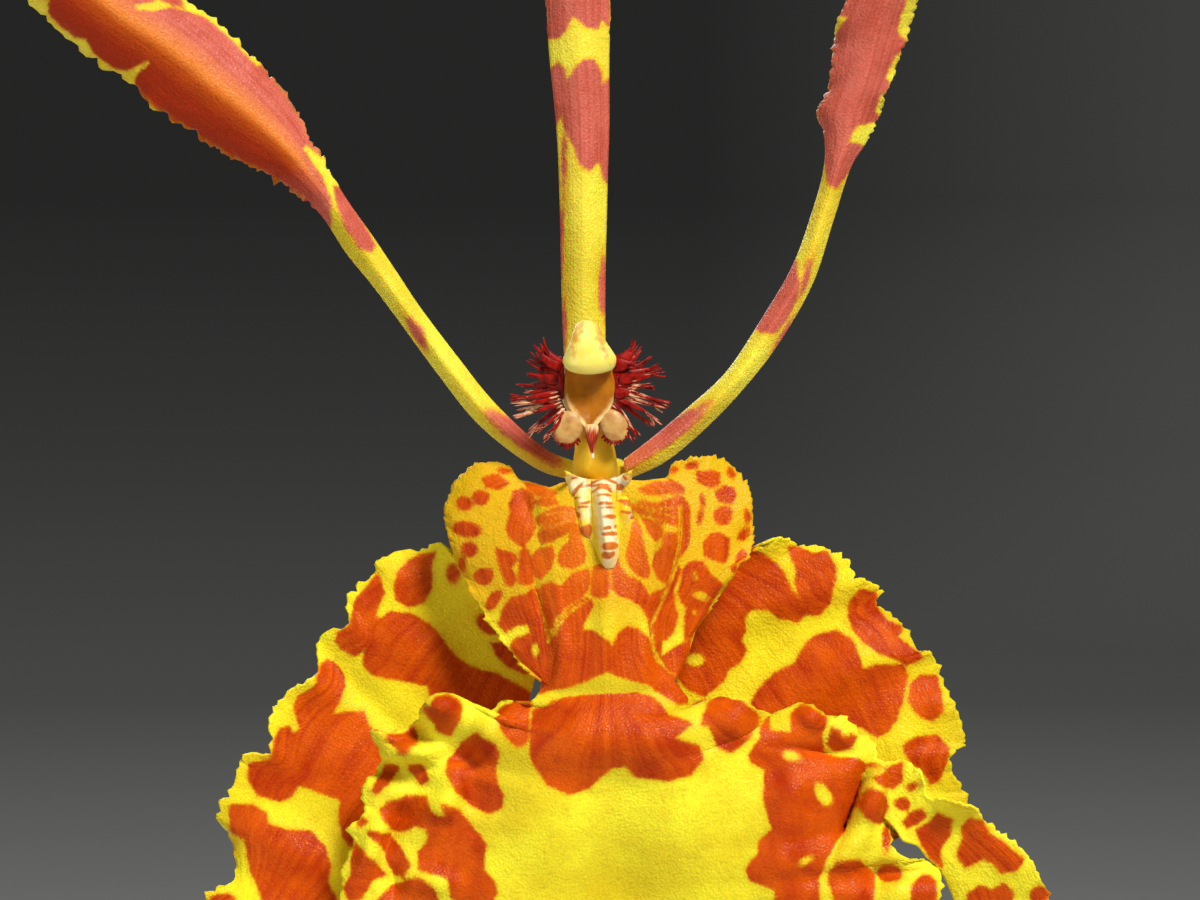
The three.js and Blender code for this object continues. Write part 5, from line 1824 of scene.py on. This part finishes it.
# %% [markdown]
# The leaves are stiff, leathery and mottled. Each is a sheet along a leaning spine. It is
# folded where it leaves the bulb, opens into a shallow gutter and ends in a short point. The
# mottling is two sizes of noise on a green ground, and the midrib follows the leaf's own map.

# %% Leaves
LEAF_STATIONS = np.array([0, 0.12, 0.35, 0.6, 0.82, 1])
LEAF_WIDTHS = [0.13, 0.30, 0.60, 0.84, 0.98, 1.0, 0.99, 0.90, 0.70, 0.40, 0.06]
LEAF_THICKNESS = 1.5
LEAF_SOCKET = 2.2
LEAF_FACING = Vector((0, -1, 0.15)).normalized()

n = Nodes("leaf_skin")
grain = n.grain()
across = n.math("ABSOLUTE", n.math("SUBTRACT", n.axes(grain)["X"], 0.5))
veins = n.noise(1.0, 2.0, n.stretch(grain, (60, 2, 1)))
green = n.mix(n.patches(40, 3.0, 0.35, 0.7), (0.045, 0.085, 0.018), (0.095, 0.155, 0.035))
green = n.mix(n.span(veins, 0.4, 0.7, 0.0, 0.5), green, (0.13, 0.19, 0.05))
patches = n.span(n.noise(300, 4.0, roughness=0.62), 0.50, 0.56)
speckles = n.span(n.cells(520), 0.16, 0.26, 1.0, 0.0)
zones = n.patches(45, 2.0, 0.35, 0.6, 0.25, 1.0)
mottle = n.times(n.math("MAXIMUM", patches, speckles), zones)
green = n.mix(mottle, green, (0.105, 0.030, 0.022))
green = n.mix(n.span(across, 0.0, 0.018, 0.75, 0.0), green, (0.20, 0.24, 0.08))
green = n.mix(n.span(across, 0.485, 0.5, 0.0, 0.8), green, (0.16, 0.05, 0.03))
leather = n.bump(n.cells(1500), 0.25, 0.00012)
leaf_skin = n.surface(
    green, n.patches(160, 2.0, 0.3, 0.7, 0.34, 0.5), n.bump(veins, 0.35, 0.0005, leather),
    Specular_IOR_Level=0.45,
)


def leaf_place(growth, seed):
    length = growth["leaf"]
    slope = [math.tan(math.radians(lean)) * length for lean in growth["lean"]]
    t = LEAF_STATIONS
    sideways = slope[0] * t * (0.45 + 0.55 * t)
    forward = slope[1] * t * (0.35 + 0.65 * t)
    spine = in_mm(np.stack([sideways, forward, length * t * (1 - 0.06 * t**2)], axis=1))
    spine[0, 2] -= LEAF_SOCKET * MM
    curl = 1 if growth["lean"][1] > 0 else -1
    foot = BULB_FOOT + growth["height"]

    def place(u, v):
        centre, ahead = frame_along(spine, v)
        side, out = across_route(ahead, np.array(LEAF_FACING))
        half = profile(LEAF_WIDTHS, v) * growth["half"] * MM
        s = 2 * u - 1
        gutter = profile([0.9, 0.55, 0.32, 0.24, 0.20, 0.18, 0.12], v)
        wave = 0.9 * MM * np.abs(s) ** 3 * smooth_noise(v * 5, np.sign(s) * 4, seed) * NOISE_GAIN
        raised = curl * gutter * half * (np.abs(s) ** 1.4) - curl * 0.35 * MM * np.exp(-((s / 0.05) ** 2))
        narrow = np.cos(np.arctan(gutter))
        points = centre + (s * half * narrow)[:, None] * side + (raised + wave)[:, None] * out
        margin = np.minimum(half * (1 - np.abs(s)), (1 - v) * length * MM) / MM
        return turned(points, growth, foot), {"margin": margin}

    return place


for number, growth in enumerate(GROWTHS, 1):
    leaf_mesh = bmesh.new()
    grow(leaf_mesh, 48, 150, leaf_place(growth, number * 3.0))
    leaf_mesh.normal_update()
    leaf = finish_mesh(leaf_mesh, f"leaf_{number}")
    thicken(leaf, LEAF_THICKNESS, 7)
    leaf.data.materials.append(leaf_skin)
    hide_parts(f"leaf_{number}")
print("leaves:", len(GROWTHS))

# %% [markdown]
# Every bulb sits in the dry sheaths of the leaves that it has lost. They are thin torn
# sleeves that clasp its foot.

# %% Sheaths
SHEATH_TURNS = (0.0, 0.5)
SHEATH_THICKNESS = 0.3

n = Nodes("sheath_paper")
grain = n.grain()
fibres = n.noise(1.0, 4.0, n.stretch(grain, (60, 3, 1)))
paper = n.mix(n.span(fibres, 0.35, 0.65), (0.30, 0.19, 0.10), (0.56, 0.43, 0.27))
paper = n.mix(n.patches(200, 3.0, 0.5, 0.75), paper, (0.20, 0.11, 0.055))
sheath_paper = n.surface(
    paper, n.span(fibres, 0.3, 0.7, 0.6, 0.85), n.bump(fibres, 0.6, 0.0003), Specular_IOR_Level=0.3
)


def sheath_place(growth, turn, tall, seed):
    def place(u, v):
        angle = 2 * math.pi * (turn + (u - 0.5) * 0.62)
        arch = np.cos((u - 0.5) * math.pi) ** 0.7
        torn = 1 + 0.16 * smooth_noise(u * 22, 0.0, seed) + 0.1 * smooth_noise(u * 60, 1.0, seed)
        rise = v * tall * (0.25 + 0.75 * arch) * torn
        share = np.clip(rise / growth["height"], 0, 1)
        wide = BULB_HALF_WIDTH * profile(BULB_OUTLINE, share)
        deep = wide * BULB_HALF_DEPTH / BULB_HALF_WIDTH
        loose = 0.35 + 1.1 * v**2 * (1 + smooth_noise(u * 6, v * 2, seed + 2))
        x = (wide + loose) * np.cos(angle)
        y = (deep + loose) * np.sin(angle)
        points = np.stack([x, y, rise - 0.6], axis=1) * MM
        return turned(points, growth, BULB_FOOT), {"margin": 0.4 + 0 * u}

    return place


sheath_mesh = bmesh.new()
for number, growth in enumerate(GROWTHS, 1):
    for k, turn in enumerate(SHEATH_TURNS):
        tall = growth["height"] * (0.62 + 0.2 * k)
        grow(sheath_mesh, 60, 26, sheath_place(growth, turn, tall, number + k * 10.0))
sheaths = finish_mesh(sheath_mesh, "bulb_sheaths")
thicken(sheaths, SHEATH_THICKNESS, 0.5)
sheaths.data.materials.append(sheath_paper)
print("sheath faces:", len(sheaths.data.polygons))

# %% [markdown]
# The roots run over the bark. A root is a limb in a white spongy coat, with a green growing
# tip. It rises and sinks a little as it crosses the chips.

# %% Roots
ROOT_HEIGHT = 95.9
ROOT_RADII = [1.6, 1.6, 1.65, 1.6, 1.55, 1.5, 1.35, 0.9]
ROOT_ROUTES = [
    [(-25, -6.5), (-29, -16), (-24, -28), (-12, -38), (4, -44)],
    [(8, -15), (14, -24), (27, -30), (36, -26), (43, -15)],
    [(21, 6), (24, 17), (18, 30), (6, 38), (-8, 43)],
    [(-20, 8), (-26, 18), (-24, 30), (-31, 35), (-36, 28)],
]

n = Nodes("root_skin")
coat = n.mix(n.patches(300, 4.0, 0.35, 0.7), (0.50, 0.49, 0.42), (0.72, 0.71, 0.64))
coat = n.mix(n.patches(120, 3.0, 0.55, 0.7, 0.0, 0.6), coat, (0.30, 0.31, 0.16))
tip = n.mix(n.noise(400), (0.16, 0.27, 0.04), (0.30, 0.42, 0.10))
tip_edge = n.plus(n.attribute("along"), n.patches(500, 2.0, 0.3, 0.7, -0.012, 0.012))
coat = n.mix(n.span(tip_edge, 0.87, 0.90), coat, tip)
root_skin = n.surface(
    coat, n.span(n.attribute("along"), 0.86, 0.92, 0.8, 0.35), n.bump(n.noise(1200, 3.0), 0.4, 0.0003),
    Specular_IOR_Level=0.35,
)


def root_swell(seed):
    def swell(turn, v):
        coarse = smooth_noise(v * 24, np.cos(turn) * 0.8, seed)
        return 0.08 * coarse + 0.05 * smooth_noise(v * 60, np.sin(turn), seed)

    return swell


for number, spots in enumerate(ROOT_ROUTES, 1):
    samples = np.linspace(0, 1, 25)
    bends = along([(x, y, ROOT_HEIGHT) for x, y in spots], samples)
    rise = 0.7 * smooth_noise(samples * 9, number * 1.0, 2.0) * np.sin(math.pi * samples)
    bends[:, 2] += rise + 0.35
    bends[:, 0] += 0.9 * smooth_noise(samples * 7, number * 2.0, 5.0) * np.sin(math.pi * samples)
    root_mesh = bmesh.new()
    body = limb(bends * MM, ROOT_RADII, 1, (0, 0, 1), (0.01, 0.03), root_swell(number * 5.0))
    grow(root_mesh, 20, 220, body, closed=True)
    root = finish_mesh(root_mesh, f"root_{number}")
    root.data.materials.append(root_skin)
    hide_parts(f"root_{number}")
print("roots:", len(ROOT_ROUTES))

# %% [markdown]
# The flower stalk rises from the foot of the newest growth. It has a joint below each bract,
# where it thickens a little.

# %% Flower stalk
STALK_ROUTE = [
    (14.5, 4.5, 94.3), (15.5, 4, 130), (14.5, 3.5, 185), (10, 4, 255), (4, 6.5, 330), (0.5, 8, 385),
    (-0.5, 7.5, 417),
]
STALK_RADII = [2.3, 2.2, 2.0, 1.8, 1.6, 1.4]
BRACT_STATIONS = (0.24, 0.47, 0.70, 0.90)
BRACT_LENGTH = 13
BRACT_THICKNESS = 0.35

n = Nodes("stalk_skin")
grain = n.grain()
lines = n.noise(1.0, 3.0, n.stretch(grain, (20, 4, 1)))
green = n.mix(n.patches(60, 3.0, 0.35, 0.7), (0.10, 0.17, 0.035), (0.20, 0.27, 0.06))
green = n.mix(n.span(lines, 0.4, 0.7, 0.0, 0.6), green, (0.27, 0.33, 0.10))
flecks = n.times(n.patches(700, 3.0, 0.52, 0.6), n.patches(50, 2.0, 0.3, 0.6, 0.3, 1.0))
green = n.mix(flecks, green, (0.20, 0.05, 0.045))
stalk_skin = n.surface(
    green, n.patches(300, 2.0, 0.3, 0.7, 0.35, 0.55), n.bump(lines, 0.35, 0.0003),
    Specular_IOR_Level=0.4, Subsurface_Weight=0.08, Subsurface_Scale=0.001,
)


def joint_swell(turn, v):
    total = np.zeros_like(v)
    for station in BRACT_STATIONS:
        total += 0.10 * np.exp(-(((v - station) / 0.006) ** 2))
    return total + 0.03 * np.cos(4 * turn + v * 9)


stalk_mesh = bmesh.new()
stalk_route = in_mm(STALK_ROUTE)
shape = limb(stalk_route, STALK_RADII, 0.9, blunt=(0.006, 0.006), swell=joint_swell)
grow(stalk_mesh, 32, 420, shape, closed=True)
stalk = finish_mesh(stalk_mesh, "flower_stalk")
stalk.data.materials.append(stalk_skin)
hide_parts("flower_stalk")

# %% [markdown]
# A bract is a papery leaf that clasps the stalk. It is a pointed sheet rolled most of the way
# round, a little looser towards its tip.

# %% Bracts
n = Nodes("bract_paper")
grain = n.grain()
tall = n.axes(grain)["Y"]
fibres = n.noise(1.0, 4.0, n.stretch(grain, (48, 3, 1)))
paper = n.mix(n.span(tall, 0.1, 0.6), (0.24, 0.27, 0.09), (0.50, 0.38, 0.20))
paper = n.mix(n.span(fibres, 0.35, 0.7), n.mix(1.0, paper, (0.6, 0.55, 0.5), "MULTIPLY"), paper)
bract_paper = n.surface(
    paper, n.span(fibres, 0.3, 0.7, 0.55, 0.8), n.bump(fibres, 0.5, 0.0002), Specular_IOR_Level=0.3
)


def clasping(route, start, length, radius, wrap, turn, seed, flare=0.7, point=0.62):
    """A pointed sheet rolled round a route. start is where it begins, as a share of the route."""
    total = sum(np.linalg.norm(b - a) for a, b in zip(route, route[1:])) / MM

    def place(u, v):
        arch = np.cos((u - 0.5) * math.pi) ** 1.1
        rise = v * length * (1 - point + point * arch)
        share = np.clip(start + rise / total, 0, 1)
        centre, ahead = frame_along(route, share)
        beyond = np.maximum(start + rise / total - 1, 0) * total * MM
        centre = centre + ahead * beyond[:, None]
        side, out = across_route(ahead, (0, -1, 0))
        angle = 2 * math.pi * (turn + (u - 0.5) * wrap)
        reach = (radius + flare * v**2 + 0.25 * v * smooth_noise(u * 6, v * 3, seed)) * MM
        points = centre + (reach * np.cos(angle))[:, None] * side + (reach * np.sin(angle))[:, None] * out
        margin = np.minimum((0.5 - np.abs(u - 0.5)) * wrap * 6 * radius, (1 - v) * length)
        return points, {"margin": margin}

    return place


for number, station in enumerate(BRACT_STATIONS, 1):
    radius = profile(STALK_RADII, np.array([station]))[0] + 0.42
    bract_mesh = bmesh.new()
    turn = 0.25 + 0.5 * (number % 2)
    shape = clasping(stalk_route, station, BRACT_LENGTH, radius, 0.94, turn, number * 4.0)
    grow(bract_mesh, 56, 40, shape)
    bract = finish_mesh(bract_mesh, f"bract_{number}")
    thicken(bract, BRACT_THICKNESS, 1.2)
    bract.data.materials.append(bract_paper)
    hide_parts(f"bract_{number}")

# %% [markdown]
# The stalk flowers one bloom at a time, and the next bud waits at its tip among small
# overlapping bracts. The open flower hangs on a ribbed stem, its ovary, that starts beside it.

# %% Next bud and flower stem
BUD_ROUTE = [(-0.5, 7.5, 414.6), (-0.55, 7.4, 422), (-0.7, 7.2, 426.8)]
BUD_RADII = [1.0, 1.5, 1.45, 1.1, 0.5]
BUD_SCALES = 4
SCALE_THICKNESS = 0.25
bud_route = in_mm(BUD_ROUTE)
bud_mesh = bmesh.new()
grow(bud_mesh, 24, 40, limb(bud_route, BUD_RADII, 0.8, blunt=(0.05, 0.1)), closed=True)
bud = finish_mesh(bud_mesh, "next_bud")
bud.data.materials.append(stalk_skin)
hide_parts("next_bud")

scale_mesh = bmesh.new()
for k in range(BUD_SCALES):
    start = 0.02 + 0.16 * k
    length = 6.0 - 0.5 * k
    radius = 1.75 - 0.22 * k
    turn = 0.25 + 0.5 * (k % 2)
    shape = clasping(bud_route, start, length, radius, 0.62, turn, 30.0 + k, flare=0.05, point=0.8)
    grow(scale_mesh, 30, 26, shape)
scales = finish_mesh(scale_mesh, "bud_scales")
thicken(scales, SCALE_THICKNESS, 0.8)
scales.data.materials.append(bract_paper)

# The ovary's front end runs into the flower's heart, where the petals, the sepals and the
# column's foot all start.
OVARY_ROUTE = [
    (-0.3, 1.2, 0.1), (-0.2, 3.2, -0.1), (0, 4.9, -0.2), (-0.1, 9, -0.8), (-0.3, 14, -4), (-0.4, 19, -9.5),
    (-0.5, 25.0, -18.6),
]
OVARY_RADII = [1.2, 1.95, 2.2, 2.0, 1.8, 1.55, 1.35, 1.2, 1.05, 0.95]
ovary_route = in_mm(OVARY_ROUTE) + np.array(FLOWER)
ovary_mesh = bmesh.new()


def ribs(turn, v):
    return (0.10 * np.cos(3 * turn) - 0.04 * np.cos(6 * turn)) * np.clip(1.2 - v, 0, 1)


shape = limb(ovary_route, OVARY_RADII, 1, (0, 0, 1), (0.02, 0.02), ribs)
grow(ovary_mesh, 36, 120, shape, closed=True)
ovary = finish_mesh(ovary_mesh, "pedicel_ovary")
n = Nodes("ovary_skin")
skin = n.mix(n.span(n.attribute("along"), 0.1, 0.8), (0.50, 0.52, 0.08), (0.24, 0.30, 0.06))
skin = n.mix(n.patches(900, 3.0, 0.55, 0.65, 0.0, 0.7), skin, (0.36, 0.09, 0.05))
skin = n.mix(n.span(n.attribute("along"), 0.08, 0.14), (0.80, 0.58, 0.02), skin)
ovary.data.materials.append(
    n.surface(
        skin, n.patches(400, 2.0, 0.3, 0.7, 0.35, 0.55), n.bump(n.noise(2400, 2.0), 0.25, 0.0001),
        Subsurface_Weight=0.15, Subsurface_Scale=0.001, Specular_IOR_Level=0.4,
    )
)
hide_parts("pedicel_ovary")
print("stalk, bracts, bud and flower stem are in place")

# %% Floor
bpy.ops.mesh.primitive_circle_add(vertices=128, radius=FLOOR_RADIUS, fill_type="NGON")
floor = bpy.context.object
floor.name = "floor"
floor_finish = Nodes("floor_finish")
floor.data.materials.append(floor_finish.surface((0.62, 0.61, 0.59), 0.8))
